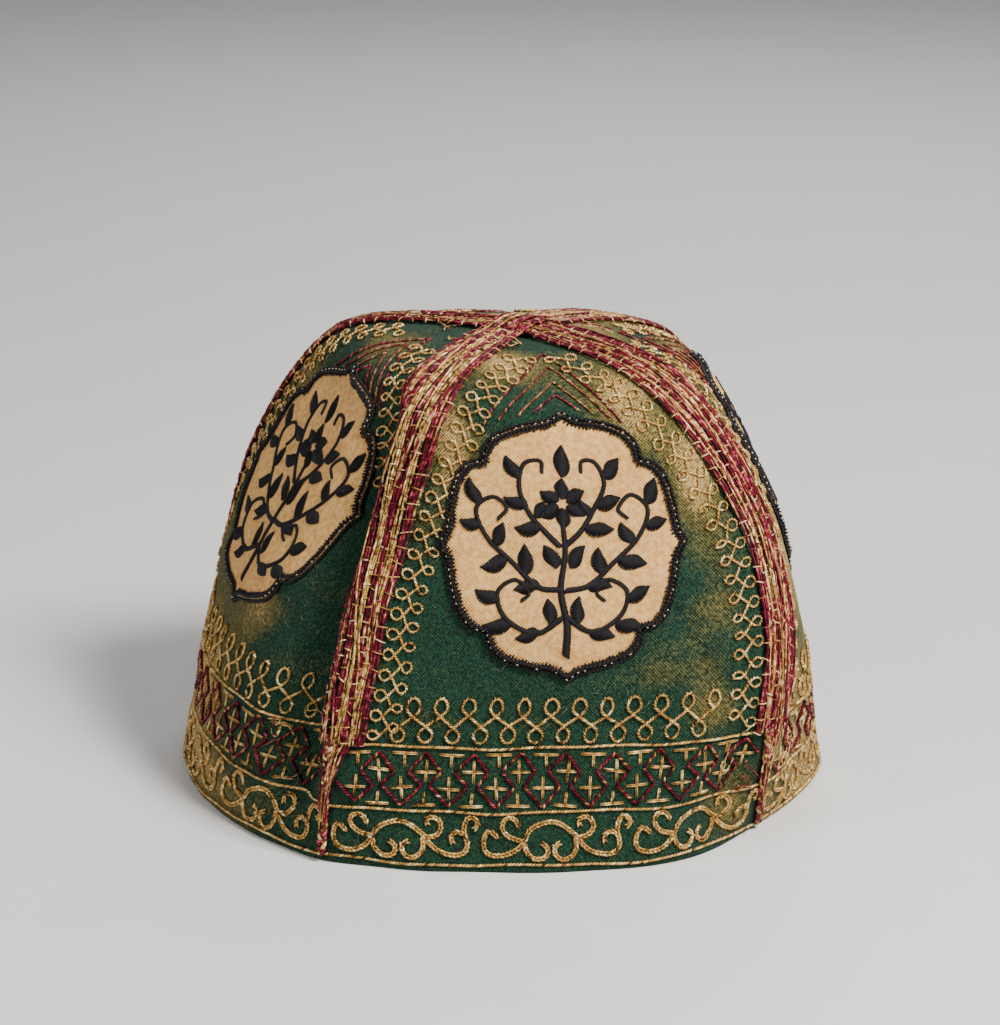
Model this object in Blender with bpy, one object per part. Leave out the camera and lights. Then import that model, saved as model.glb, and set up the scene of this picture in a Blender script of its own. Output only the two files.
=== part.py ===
"""Dervish cap: four cloth gores, laid-thread seam bands, seam braids and four medallions.

The cap stands on its hem. X runs to the right as the front gore is looked at, Y runs to the
back and Z runs up from the hem. Each gore is a function of two shares: u from seam to seam
and v from hem to crown. Everything sewn on a gore is placed on that surface in millimetres.
"""
import math

import bmesh
import bpy
import numpy as np

MM = 0.001

# Driving dimensions
CLOTH = 2.0 * MM
SEAM_GAP = 0.3 * MM
REST_GAP = 0.5 * MM
CORNER_ROUND = 7.5 * MM
CORNER_SHARE = 0.3
SEAM_LENGTH = 185.0 * MM
TOP_LEVEL = 0.985
BORDER_LEVEL = 0.19
BAND_TOP_LEVEL = 0.994
BAND_WIDTH = 13.0 * MM
BAND_THICKNESS = 1.2 * MM
BAND_TAPER = 0.68
BAND_LEAST_HALF = 0.1 * MM
BRAID_RADIUS = 1.2 * MM
BRAID_END = 0.012
MEDALLION_THICKNESS = 0.8 * MM
EDGE_WIDTH = 2.2 * MM
EDGE_THICKNESS = 1.4 * MM

# Middle of the cap's plan, so that the origin is under the middle of its box
PLAN_CENTRE = (-12.8 * MM, -13.0 * MM)
CROWN = (-8.0 * MM, -8.0 * MM)

# Levels from hem to crown: share of the seam's length, height above the hem in mm
LEVEL_TABLE = (
    (0.00, 0.0), (0.09, 17.0), (0.19, 35.0), (0.40, 72.0), (0.54, 95.0),
    (0.64, 113.0), (0.72, 125.0), (0.79, 131.0), (0.89, 135.5), (1.00, 136.8),
)

# Seams: hem corner in mm, then a row of reaches and a row of swings, one for each level.
# A reach is a share of the distance from crown to corner, a swing is mm to the left of it.
SEAM_TABLE = {
    "front_left": {
        "corner": (-63.6, -82.7),
        "reach": (1.01, 0.99, 0.965, 0.83, 0.71, 0.625, 0.54, 0.42, 0.215, 0.0),
        "swing": (0, 0, 0, 0, 0, 0, 0, 0, 0, 0),
    },
    "front_right": {
        "corner": (60.9, -57.5),
        "reach": (1.00, 1.08, 1.13, 1.085, 0.985, 0.86, 0.715, 0.585, 0.34, 0.0),
        "swing": (0, -6, -8, -3, 0, 0, 0, 0, 0, 0),
    },
    "back_right": {
        "corner": (42.0, 56.0),
        "reach": (1.00, 1.02, 1.03, 1.03, 0.97, 0.86, 0.73, 0.56, 0.29, 0.0),
        "swing": (0, -1, -2, -5, -9, -10, -10, -7, -3, 0),
    },
    "back_left": {
        "corner": (-101.0, 42.0),
        "reach": (1.03, 1.02, 1.005, 0.94, 0.87, 0.77, 0.665, 0.565, 0.30, 0.0),
        "swing": (0, 0, 0, 0, 0, 0, 0, 0, 0, 0),
    },
}

# Gores: first and second seam, then for each level how far the cloth bulges out of the
# straight line between its seams in mm, and at which share of the way it bulges most,
# and the middle of the medallion in mm across from the gore's middle and up from the hem
GORE_TABLE = {
    "front": {
        "seams": ("front_left", "front_right"),
        "bulge": (22, 13, 7, 8, 9, 9, 9, 8, 5, 0),
        "crest": (0.70, 0.68, 0.62, 0.5, 0.5, 0.5, 0.5, 0.5, 0.5, 0.5),
        "medallion": (-2.0, 93.5),
    },
    "right": {
        "seams": ("front_right", "back_right"),
        "bulge": (32, 27, 22, 13, 9, 7, 7, 6, 4, 0),
        "crest": (0.45, 0.45, 0.42, 0.38, 0.4, 0.5, 0.5, 0.5, 0.5, 0.5),
        "medallion": (0.0, 94.0),
    },
    "back": {
        "seams": ("back_right", "back_left"),
        "bulge": (12, 13, 14, 14, 13, 12, 10, 8, 5, 0),
        "crest": (0.5, 0.5, 0.5, 0.5, 0.5, 0.5, 0.5, 0.5, 0.5, 0.5),
        "medallion": (0.0, 93.5),
    },
    "left": {
        "seams": ("back_left", "front_left"),
        "bulge": (23, 20, 17, 10, 3, 0, 0, 1, 1, 0),
        "crest": (0.5, 0.52, 0.5, 0.42, 0.32, 0.32, 0.4, 0.5, 0.5, 0.5),
        "medallion": (0.0, 96.0),
    },
}
NEIGHBOURS = {
    "front": ("left", "right"),
    "right": ("front", "back"),
    "back": ("right", "left"),
    "left": ("back", "front"),
}

# Folds: gore, start and end as shares (u, v), height out of the cloth and half width in mm
FOLD_TABLE = (
    ("left", (0.90, 0.20), (0.88, 0.66), -6.0, 12.0),
    ("front", (0.66, 0.84), (0.84, 0.60), 2.6, 9.0),
    ("front", (0.50, 0.83), (0.66, 0.70), -1.2, 7.0),
    ("front", (0.86, 0.04), (0.93, 0.16), -3.0, 7.0),
    ("right", (0.20, 0.02), (0.12, 0.20), -2.5, 8.0),
    ("back", (0.30, 0.10), (0.36, 0.50), -2.5, 12.0),
    ("back", (0.70, 0.30), (0.62, 0.62), 2.0, 12.0),
)
FOLD_FADE = 7.0 * MM
FOLD_HEM_FADE = 0.03

# Small steps in u and v at which directions and normals are read
EDGE_STEP = 0.001
NORMAL_STEP = 0.0015

# Medallion outline, four times round: share of a quarter turn, share of the half height
LOBE_TABLE = (
    (0.000, 1.000), (0.070, 0.955), (0.160, 0.962), (0.300, 0.985), (0.420, 0.935),
    (0.500, 0.890), (0.580, 0.935), (0.700, 0.985), (0.840, 0.962), (0.930, 0.955),
    (1.000, 1.000),
)
MEDALLION_HALF = (35.5 * MM, 38.5 * MM)

# Faces across and along each kind of piece
GORE_FACES = (16, 21)
BAND_FACES = (4, 22)
BRAID_POINTS = 10
MEDALLION_FACES = 10
EDGE_FACES = (40, 5)
EDGE_TORUS = (1.0, 0.25)

# Levels read across and along each gore to turn millimetres into shares
CHART_STEPS = (81, 79)

COLOURS = {
    "gore": (0.016, 0.073, 0.040),
    "band": (0.330, 0.120, 0.090),
    "braid": (0.300, 0.070, 0.070),
    "medallion": (0.640, 0.420, 0.215),
    "edge": (0.012, 0.011, 0.015),
}


def smooth_row(places, values, where):
    """Smooth curve through (place, value) pairs, read at the places in an array."""
    places = np.asarray(places, float)
    values = np.asarray(values, float)
    steps = np.diff(places)
    slopes = np.diff(values) / steps
    tangents = np.empty_like(values)
    tangents[0] = slopes[0]
    tangents[-1] = slopes[-1]
    tangents[1:-1] = (slopes[:-1] * steps[1:] + slopes[1:] * steps[:-1]) / (steps[:-1] + steps[1:])
    first = np.clip(np.searchsorted(places, where, side="right") - 1, 0, len(steps) - 1)
    span = steps[first]
    t = (where - places[first]) / span
    return (
        values[first] * (1 + 2 * t) * (1 - t) ** 2
        + values[first + 1] * t * t * (3 - 2 * t)
        + span * (tangents[first] * t * (1 - t) ** 2 - tangents[first + 1] * t * t * (1 - t))
    )


def unit(vectors):
    """Vectors of length one, safe where a vector has no length."""
    length = np.linalg.norm(vectors, axis=-1, keepdims=True)
    return vectors / np.maximum(length, 1e-12)


def seam_point(name, v):
    """Point of a seam at level v: out from the crown by its reach, aside by its swing."""
    levels, heights = zip(*LEVEL_TABLE)
    row = SEAM_TABLE[name]
    crown = np.array(CROWN)
    arm = np.array(row["corner"]) * MM - crown
    along = arm / np.linalg.norm(arm)
    aside = np.array((-along[1], along[0]))
    reach = smooth_row(levels, row["reach"], v) * np.linalg.norm(arm)
    swing = smooth_row(levels, row["swing"], v) * MM
    plan = crown + reach[..., None] * along + swing[..., None] * aside - np.array(PLAN_CENTRE)
    return np.concatenate([plan, smooth_row(levels, heights, v)[..., None] * MM], axis=-1)


def seam_reach(point):
    """Distance in plan from the crown to a point of a seam."""
    crown = np.array(CROWN) - np.array(PLAN_CENTRE)
    return np.linalg.norm(point[..., :2] - crown, axis=-1)


def bulged_point(name, u, v):
    """Point of a gore before its corners are rounded: the straight line between its two
    seams, pushed out by the bulge times one minus the squared way from the crest."""
    levels = [row[0] for row in LEVEL_TABLE]
    row = GORE_TABLE[name]
    first, second = (seam_point(seam, v) for seam in row["seams"])
    bulge = smooth_row(levels, row["bulge"], v) * MM
    crest = smooth_row(levels, row["crest"], v)
    away = np.where(u < crest, 1 - u / crest, (u - crest) / (1 - crest))
    chord = second - first
    out = unit(np.stack([chord[..., 1], -chord[..., 0], np.zeros_like(u)], axis=-1))
    return first + chord * u[..., None] + out * (bulge * (1 - away**2))[..., None]


def leaving_direction(name, end, v):
    """Direction in which a gore leaves its first (0) or second (1) seam."""
    start = np.full_like(v, float(end))
    inside = np.full_like(v, EDGE_STEP if end == 0 else 1 - EDGE_STEP)
    return unit(bulged_point(name, inside, v) - bulged_point(name, start, v))


def fold_height(name, u, v, width):
    """Sum of the gore's folds: each is a bell curve of the distance to a straight line."""
    place = np.stack([(u - 0.5) * width, v * SEAM_LENGTH], axis=-1)
    total = np.zeros_like(u)
    for gore, start, end, height, half_width in FOLD_TABLE:
        if gore != name:
            continue
        start_place = np.stack(
            [(start[0] - 0.5) * width, np.full_like(v, start[1] * SEAM_LENGTH)], axis=-1)
        end_place = np.stack(
            [(end[0] - 0.5) * width, np.full_like(v, end[1] * SEAM_LENGTH)], axis=-1)
        line = end_place - start_place
        share = np.sum((place - start_place) * line, axis=-1) / np.sum(line * line, axis=-1)
        nearest = start_place + line * np.clip(share, 0, 1)[..., None]
        distance = np.linalg.norm(place - nearest, axis=-1)
        total += height * MM * np.exp(-((distance / (half_width * MM)) ** 2))
    to_seam = np.minimum(u, 1 - u) * width
    fade = 1 - np.exp(-((to_seam / FOLD_FADE) ** 2))
    return total * fade * np.clip(v / FOLD_HEM_FADE, 0, 1)


def gore_surface(name, u, v):
    """Outer face of a gore. Near each seam both gores are pulled in by
    (their two leaving directions) * (sqrt(d * d + c * c) - d) / 2, d being the distance to
    the seam, which turns the sharp corner into a round ridge that both share. The pull
    fades to nothing at the far seam, and c shrinks with the reach near the crown."""
    u, v = np.broadcast_arrays(np.asarray(u, float), np.asarray(v, float))
    before, after = NEIGHBOURS[name]
    first, second = (seam_point(seam, v) for seam in GORE_TABLE[name]["seams"])
    chord = second - first
    width = np.linalg.norm(chord, axis=-1)
    out = unit(np.stack([chord[..., 1], -chord[..., 0], np.zeros_like(u)], axis=-1))
    points = bulged_point(name, u, v) + out * fold_height(name, u, v, width)[..., None]
    pull_first = leaving_direction(name, 0, v) + leaving_direction(before, 1, v)
    pull_second = leaving_direction(name, 1, v) + leaving_direction(after, 0, v)
    sides = ((pull_first, u, seam_reach(first)), (pull_second, 1 - u, seam_reach(second)))
    for pull, share, reach in sides:
        distance = share * width
        corner = np.minimum(CORNER_ROUND, CORNER_SHARE * reach)
        amount = (np.sqrt(distance**2 + corner**2) - distance) / 2 * (1 - share**2)
        points = points + pull * amount[..., None]
    return points


def gore_normal(name, u, v):
    """Outward normal of a gore, from the surface a little to each side."""
    left = gore_surface(name, np.clip(u - NORMAL_STEP, 0, 1), v)
    right = gore_surface(name, np.clip(u + NORMAL_STEP, 0, 1), v)
    below = gore_surface(name, u, np.clip(v - NORMAL_STEP, 0, 1))
    above = gore_surface(name, u, np.clip(v + NORMAL_STEP, 0, 1))
    return unit(np.cross(right - left, above - below))


def on_gore(name, u, v, height):
    """Point at a height above (or, negative, below) the gore's outer face."""
    return gore_surface(name, u, v) + gore_normal(name, u, v) * height[..., None]


def gore_chart(name):
    """Tables that turn millimetres on the cloth into u and v: for each level the length
    across from the first seam, and up the middle of the gore the length from the hem."""
    levels = np.linspace(0, TOP_LEVEL, CHART_STEPS[1])
    shares = np.linspace(0, 1, CHART_STEPS[0])
    grid_u, grid_v = np.meshgrid(shares, levels)
    points = gore_surface(name, grid_u, grid_v)
    across = np.linalg.norm(np.diff(points, axis=1), axis=2)
    across = np.concatenate([np.zeros((len(levels), 1)), np.cumsum(across, axis=1)], axis=1)
    middle = points[:, len(shares) // 2]
    up = np.linalg.norm(np.diff(middle, axis=0), axis=1)
    up = np.concatenate([[0.0], np.cumsum(up)])
    return levels, shares, across, up


def place_on_gore(name, x, y, height):
    """Point at x across from the gore's middle line and y up from the hem, in metres."""
    levels, shares, across, up = gore_chart(name)
    v = np.interp(y, up, levels)
    row = np.interp(v, levels, np.arange(len(levels)))
    low = np.clip(np.floor(row).astype(int), 0, len(levels) - 2)
    part = row - low
    u = np.empty_like(v)
    for index, (first, share) in enumerate(zip(low, part)):
        lengths = across[first] * (1 - share) + across[first + 1] * share
        u[index] = np.interp(x[index] + lengths[len(shares) // 2], lengths, shares)
    return on_gore(name, u, v, height)


def place_on_medallion(name, x, y, height):
    """Point at x and y from the middle of the gore's medallion, in metres."""
    middle = GORE_TABLE[name]["medallion"]
    return place_on_gore(name, x + middle[0] * MM, y + middle[1] * MM, height)


def lobed_outline(angle, inset):
    """Outline of the medallion at an angle, drawn in by the inset, as x and y."""
    shares, reaches = zip(*LOBE_TABLE)
    quarter = np.mod(angle / (math.pi / 2), 1.0)
    reach = np.interp(quarter, shares, reaches)
    x = np.cos(angle) * (MEDALLION_HALF[0] * reach - inset)
    y = np.sin(angle) * (MEDALLION_HALF[1] * reach - inset)
    return x, y


def paint(thing, kind, roughness, metallic=0.0):
    """Give the object its own Principled material in the kind's colour."""
    material = bpy.data.materials.new(thing.name + "_material")
    material.use_nodes = True
    shader = material.node_tree.nodes["Principled BSDF"]
    shader.inputs["Base Color"].default_value = (*COLOURS[kind], 1.0)
    shader.inputs["Roughness"].default_value = roughness
    shader.inputs["Metallic"].default_value = metallic
    thing.data.materials.append(material)


def add_mesh_object(name, mesh_builder, collection, parent):
    """Turn a filled bmesh into a named, smooth-shaded object under the cap's empty."""
    mesh = bpy.data.meshes.new(name)
    mesh_builder.to_mesh(mesh)
    mesh_builder.free()
    mesh.shade_smooth()
    thing = bpy.data.objects.new(name, mesh)
    thing.parent = parent
    collection.objects.link(thing)
    return thing


def mapped_block(faces, mapping):
    """A grid extruded once into a flat block, then moved point by point by a mapping of
    its three shares: across, along and depth, each from 0 to 1."""
    builder = bmesh.new()
    bmesh.ops.create_grid(builder, x_segments=faces[0], y_segments=faces[1], size=0.5)
    result = bmesh.ops.extrude_face_region(builder, geom=builder.faces[:])
    raised = {item for item in result["geom"] if isinstance(item, bmesh.types.BMVert)}
    builder.verts.ensure_lookup_table()
    shares = np.array([(p.co.x + 0.5, p.co.y + 0.5, float(p in raised)) for p in builder.verts])
    places = mapping(shares[:, 0], shares[:, 1], shares[:, 2])
    for point, place in zip(builder.verts, places):
        point.co = place
    bmesh.ops.recalc_face_normals(builder, faces=builder.faces[:])
    return builder


def gore_block(name):
    """Solid of one gore: outer face, inner face one cloth thickness in, flat hem."""
    def mapping(across, along, depth):
        v = along * TOP_LEVEL
        first, second = (seam_point(seam, v) for seam in GORE_TABLE[name]["seams"])
        edge = 0.5 * SEAM_GAP / np.linalg.norm(second - first, axis=-1)
        u = edge + (1 - 2 * edge) * (0.5 - 0.5 * np.cos(math.pi * across))
        places = on_gore(name, u, v, (depth - 1) * CLOTH)
        places[along == 0, 2] = 0.0
        return places
    return mapped_block(GORE_FACES, mapping)


def gores_beside(seam):
    """The two gores that meet at a seam: the one that ends there, the one that starts."""
    ending = next(name for name, row in GORE_TABLE.items() if row["seams"][1] == seam)
    starting = next(name for name, row in GORE_TABLE.items() if row["seams"][0] == seam)
    return ending, starting


def over_seam(seam, offset, v, height):
    """Point beside a seam: offset across it, negative on the gore that ends there."""
    places = np.empty((len(v), 3))
    for name, side in zip(gores_beside(seam), (offset < 0, offset >= 0)):
        first, second = (seam_point(edge, v[side]) for edge in GORE_TABLE[name]["seams"])
        share = np.abs(offset[side]) / np.linalg.norm(second - first, axis=-1)
        u = 1 - share if GORE_TABLE[name]["seams"][1] == seam else share
        places[side] = on_gore(name, u, v[side], height[side])
    return places


def band_block(seam):
    """Solid of the laid-thread band over one seam, mitred where the four bands meet."""
    def mapping(across, along, depth):
        v = BORDER_LEVEL + (BAND_TOP_LEVEL - BORDER_LEVEL) * along
        reach = seam_reach(seam_point(seam, v))
        half = np.minimum(BAND_WIDTH / 2, BAND_TAPER * reach - SEAM_GAP)
        half = np.maximum(half, BAND_LEAST_HALF)
        return over_seam(seam, (2 * across - 1) * half, v, REST_GAP + depth * BAND_THICKNESS)
    return mapped_block(BAND_FACES, mapping)


def medallion_block(gore):
    """Solid of the lobed cloth: a square grid whose square rings become lobed rings."""
    def mapping(across, along, depth):
        a = 2 * across - 1
        b = 2 * along - 1
        ring = np.maximum(np.abs(a), np.abs(b))
        safe = np.maximum(ring, 1e-9)
        eighth = math.pi / 4
        angle = np.where(
            np.abs(a) >= np.abs(b),
            np.where(a >= 0, eighth * b / safe, math.pi - eighth * b / safe),
            np.where(b >= 0, 2 * eighth - eighth * a / safe, -2 * eighth + eighth * a / safe),
        )
        x, y = lobed_outline(angle, EDGE_WIDTH + SEAM_GAP)
        height = REST_GAP + depth * MEDALLION_THICKNESS
        return place_on_medallion(gore, x * ring, y * ring, height)
    return mapped_block((MEDALLION_FACES, MEDALLION_FACES), mapping)


def add_medallion_edge(gore, collection, parent):
    """Ring of black stitches round a medallion: a torus whose circle becomes the outline."""
    bpy.ops.mesh.primitive_torus_add(
        major_segments=EDGE_FACES[0], minor_segments=EDGE_FACES[1],
        major_radius=EDGE_TORUS[0], minor_radius=EDGE_TORUS[1])
    thing = bpy.context.object
    thing.name = "medallion_edge_" + gore
    thing.data.name = thing.name
    places = np.array([point.co for point in thing.data.vertices])
    angle = np.arctan2(places[:, 1], places[:, 0])
    outward = (np.hypot(places[:, 0], places[:, 1]) - EDGE_TORUS[0]) / EDGE_TORUS[1]
    raised = places[:, 2] / EDGE_TORUS[1]
    x, y = lobed_outline(angle, EDGE_WIDTH / 2 * (1 - outward))
    height = REST_GAP + EDGE_THICKNESS / 2 * (1 + raised)
    moved = place_on_medallion(gore, x, y, height)
    thing.data.vertices.foreach_set("co", moved.astype(np.float32).ravel())
    thing.data.update()
    thing.data.shade_smooth()
    for owner in list(thing.users_collection):
        owner.objects.unlink(thing)
    collection.objects.link(thing)
    thing.parent = parent
    return thing


def add_braid(seam, collection, parent):
    """Tube of the narrow braid over a seam, from the hem to the lower end of the band."""
    lowest = BRAID_RADIUS + SEAM_GAP
    levels = np.linspace(BRAID_END, BORDER_LEVEL - BRAID_END, BRAID_POINTS)
    ridge = np.zeros(BRAID_POINTS)
    height = np.full(BRAID_POINTS, REST_GAP + BRAID_RADIUS)
    route = over_seam(seam, ridge, levels, height)
    route[:, 2] = np.maximum(route[:, 2], lowest)
    curve = bpy.data.curves.new("seam_braid_" + seam, "CURVE")
    curve.dimensions = "3D"
    curve.bevel_depth = BRAID_RADIUS
    curve.bevel_resolution = 2
    curve.use_fill_caps = True
    spline = curve.splines.new("POLY")
    spline.points.add(BRAID_POINTS - 1)
    for point, place in zip(spline.points, route):
        point.co = (*place, 1.0)
    thing = bpy.data.objects.new("seam_braid_" + seam, curve)
    thing.parent = parent
    collection.objects.link(thing)
    return thing


def build_cap():
    """Every piece of the cap, in a collection named for it, under one empty."""
    for old in list(bpy.data.objects):
        bpy.data.objects.remove(old, do_unlink=True)
    collection = bpy.data.collections.new("dervish_cap")
    bpy.context.scene.collection.children.link(collection)
    cap = bpy.data.objects.new("cap_frame", None)
    collection.objects.link(cap)
    for gore in GORE_TABLE:
        paint(add_mesh_object("panel_" + gore, gore_block(gore), collection, cap), "gore", 0.9)
        cloth = add_mesh_object("medallion_" + gore, medallion_block(gore), collection, cap)
        paint(cloth, "medallion", 0.85)
        paint(add_medallion_edge(gore, collection, cap), "edge", 0.6)
    for seam in SEAM_TABLE:
        band = add_mesh_object("seam_band_" + seam, band_block(seam), collection, cap)
        paint(band, "band", 0.45, 0.3)
        paint(add_braid(seam, collection, cap), "braid", 0.5, 0.2)


build_cap()
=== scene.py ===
# %% [markdown]
# # Dervish cap
#
# The object is a soft cap of four green cloth gores that stands on its own hem. Each
# seam is hidden under a band of laid threads, each gore carries rows of couched gold and
# crimson thread, and in its middle sits a lobed cream medallion with a black edge.
#
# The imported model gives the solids. This script gives the looks: every visible piece is
# worked out again as a fine surface or as real stitches, in the same place.

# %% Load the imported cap
import math
import bpy
import numpy as np
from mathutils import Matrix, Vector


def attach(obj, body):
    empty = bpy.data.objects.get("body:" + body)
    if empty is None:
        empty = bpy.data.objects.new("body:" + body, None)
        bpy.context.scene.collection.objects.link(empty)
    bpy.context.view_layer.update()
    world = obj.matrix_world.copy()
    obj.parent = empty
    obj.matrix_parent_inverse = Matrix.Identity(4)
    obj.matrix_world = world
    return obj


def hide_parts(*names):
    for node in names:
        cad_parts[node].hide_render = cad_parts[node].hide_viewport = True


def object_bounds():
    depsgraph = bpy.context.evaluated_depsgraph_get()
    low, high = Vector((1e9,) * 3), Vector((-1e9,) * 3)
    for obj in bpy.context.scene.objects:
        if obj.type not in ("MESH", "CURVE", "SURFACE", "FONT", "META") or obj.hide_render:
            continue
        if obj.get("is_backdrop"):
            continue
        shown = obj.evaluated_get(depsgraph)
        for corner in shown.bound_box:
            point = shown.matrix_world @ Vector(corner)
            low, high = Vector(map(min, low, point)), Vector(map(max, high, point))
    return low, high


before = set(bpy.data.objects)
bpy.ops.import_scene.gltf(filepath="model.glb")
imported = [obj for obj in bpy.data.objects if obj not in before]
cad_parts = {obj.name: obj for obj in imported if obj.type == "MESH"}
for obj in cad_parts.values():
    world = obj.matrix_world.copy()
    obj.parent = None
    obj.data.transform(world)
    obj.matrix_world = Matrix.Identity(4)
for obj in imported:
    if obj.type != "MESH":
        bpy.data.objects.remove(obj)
packed_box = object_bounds()
print("packed nodes:", len(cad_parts))

# %% [markdown]
# ## Camera
#
# The cap fills about two thirds of the picture's width and is seen from 19 degrees above.
# A long lens from about one metre gives the same mild perspective. The picture is taken
# to be 1000 by 1025, so the lens is the fitted focal length in pixels times the sensor
# width over 1025.

# %% Set up the camera
CAMERA_PLACE = (0.0, -0.9273, 0.4007)
CAMERA_PITCH = 71.0
FOCAL_PIXELS = 3300.0
PICTURE_SIDE = 1025.0
SENSOR = 36.0

camera_data = bpy.data.cameras.new("photo_camera")
camera_data.sensor_width = SENSOR
camera_data.lens = FOCAL_PIXELS * SENSOR / PICTURE_SIDE
camera_data.clip_start = 0.01
camera = bpy.data.objects.new("photo_camera", camera_data)
camera.location = CAMERA_PLACE
camera.rotation_euler = (math.radians(CAMERA_PITCH), 0, 0)
bpy.context.scene.collection.objects.link(camera)
bpy.context.scene.camera = camera
print("lens in mm:", round(camera_data.lens, 1))

# %% [markdown]
# ## Light and floor
#
# The real cap is lit by one soft light from the upper right and falls off into shade on
# its left. One area light does that, weak ones from the left and from behind keep the
# shade readable, and a pale floor and a pale grey world do the rest.

# %% Add the lights
CAP_MIDDLE = (0.0, 0.0, 0.07)
WORLD_COLOUR = (0.86, 0.88, 0.9, 1.0)
WORLD_STRENGTH = 0.12

# Lights: name, place, side in metres, power in watts and colour
LIGHTS = (
    ("key_light", (0.60, -0.46, 0.92), 0.34, 28.0, (1.0, 0.96, 0.90)),
    ("fill_light", (-0.95, -0.62, 0.75), 0.5, 8.0, (1.0, 0.97, 0.93)),
    ("back_light", (0.15, 0.95, 0.8), 0.5, 5.0, (1.0, 1.0, 1.0)),
)


def add_light(name, place, aim, size, power, colour):
    """A square area light at a place, turned to face the aim."""
    data = bpy.data.lights.new(name, "AREA")
    data.size = size
    data.energy = power
    data.color = colour
    light = bpy.data.objects.new(name, data)
    offset = np.array(aim) - np.array(place)
    across = math.atan2(offset[1], offset[0])
    down = math.atan2(-offset[2], np.hypot(offset[0], offset[1]))
    light.location = place
    light.rotation_euler = (math.pi / 2 - down, 0, across - math.pi / 2)
    bpy.context.scene.collection.objects.link(light)


for name, place, size, power, colour in LIGHTS:
    add_light(name, place, CAP_MIDDLE, size, power, colour)
world = bpy.data.worlds.new("soft_room")
world.use_nodes = True
background = world.node_tree.nodes["Background"]
background.inputs["Color"].default_value = WORLD_COLOUR
background.inputs["Strength"].default_value = WORLD_STRENGTH
bpy.context.scene.world = world
print("lights:", len(bpy.data.lights))

# %% [markdown]
# ## Writing materials as expressions
#
# A node tree is easier to read as arithmetic. The small class below wraps one output
# socket, so that mask * 0.5 + noise adds the Math nodes by itself. Everything that isn't
# plain arithmetic on numbers goes through one method.

# %% Define the wire class
class Wire:
    """One output of a material's node tree. Arithmetic on wires adds Math nodes."""

    def __init__(self, tree, socket=None):
        self.tree = tree
        self.socket = socket

    def add(self, kind, settings, values, output=0):
        """Add a node: its settings first, then a value or a wire for each socket."""
        node = self.tree.nodes.new(kind)
        for name, value in settings.items():
            setattr(node, name, value)
        for name, value in values.items():
            if isinstance(value, Wire):
                self.tree.links.new(value.socket, node.inputs[name])
            else:
                node.inputs[name].default_value = value
        return Wire(self.tree, node.outputs[output])

    def maths(self, operation, first, second):
        """A Math node on two numbers."""
        return self.add("ShaderNodeMath", {"operation": operation}, {0: first, 1: second})

    def __add__(self, other):
        return self.maths("ADD", self, other)

    def __radd__(self, other):
        return self.maths("ADD", other, self)

    def __sub__(self, other):
        return self.maths("SUBTRACT", self, other)

    def __rsub__(self, other):
        return self.maths("SUBTRACT", other, self)

    def __mul__(self, other):
        return self.maths("MULTIPLY", self, other)

    def __rmul__(self, other):
        return self.maths("MULTIPLY", other, self)

    def wave(self, operation="SINE"):
        """The sine or cosine of this wire."""
        return self.maths(operation, self, 0.0)

    def part(self, axis):
        """One component of a vector wire: 0, 1 or 2."""
        return self.add("ShaderNodeSeparateXYZ", {}, {0: self}, axis)

    def between(self, low, high):
        """This wire brought from low..high to 0..1 with soft ends."""
        settings = {"interpolation_type": "SMOOTHSTEP"}
        values = {"Value": self, "From Min": low, "From Max": high}
        return self.add("ShaderNodeMapRange", settings, values)

    def mix(self, first, second):
        """The first colour where this wire is 0, the second where it is 1."""
        settings = {"data_type": "RGBA"}
        return self.add("ShaderNodeMix", settings, {0: self, 6: first, 7: second}, 2)


def linear(red, green, blue):
    """A colour given as a screen shows it, 0 to 255, turned into linear light."""
    levels = np.array([red, green, blue]) / 255
    light = np.where(levels <= 0.04045, levels / 12.92, ((levels + 0.055) / 1.055) ** 2.4)
    return (*light.tolist(), 1.0)


def new_material(name, constants):
    """A material with one Principled shader. Constants are set on its own sockets."""
    material = bpy.data.materials.new(name)
    material.use_nodes = True
    shader = material.node_tree.nodes["Principled BSDF"]
    for socket, value in constants.items():
        shader.inputs[socket].default_value = value
    return material, Wire(material.node_tree), shader


def plug(wires, shader, links):
    """Connect wires to the shader's sockets by name."""
    for socket, wire in links.items():
        wires.tree.links.new(wire.socket, shader.inputs[socket])


def object_place(wires):
    """Object coordinates, which are metres on every piece."""
    return wires.add("ShaderNodeTexCoord", {}, {}, 3)


def painted(wires, name, output=2):
    """A point attribute: output 2 is its number, output 1 its vector."""
    return wires.add("ShaderNodeAttribute", {"attribute_name": name}, {}, output)


def noise(wires, place, scale, detail=2.0):
    """Noise from 0 to 1 at a place, scale being bumps for each unit of the place."""
    values = {"Vector": place, "Scale": scale, "Detail": detail}
    return wires.add("ShaderNodeTexNoise", {}, values)


print("wire class ready")

# %% [markdown]
# ## Cloth
#
# The gores are a plain weave, dyed dark green and faded by sun and wear to olive and
# beige in large soft patches. The weave is a bump: the product of two sines, one for each
# direction of thread. Its low points are also darkened in the colour, which is painted
# shade between the threads. The fading is painted on the points of each gore as an
# attribute, and noise breaks its edge up, so that it looks like wear and not like a gradient.

# %% Make the floor and cloth materials
MM = 0.001
WEAVE_PITCH = 0.5
WEAVE_DEPTH = 0.2 * MM
STREAK_TURN = (0.0, 0.7, 0.0)
STREAK_SCALE = (0.35, 1.0, 1.6)


def weave_height(wires):
    """Plain weave from 0 to 1 on the piece's own map in mm: the two threads' sines
    multiplied, which gives one small bump for each crossing."""
    places = wires.add("ShaderNodeUVMap", {"uv_map": "cloth"}, {})
    turn = math.pi / WEAVE_PITCH
    return 0.5 + 0.5 * ((places.part(0) * turn).wave() * (places.part(1) * turn).wave())


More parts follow.
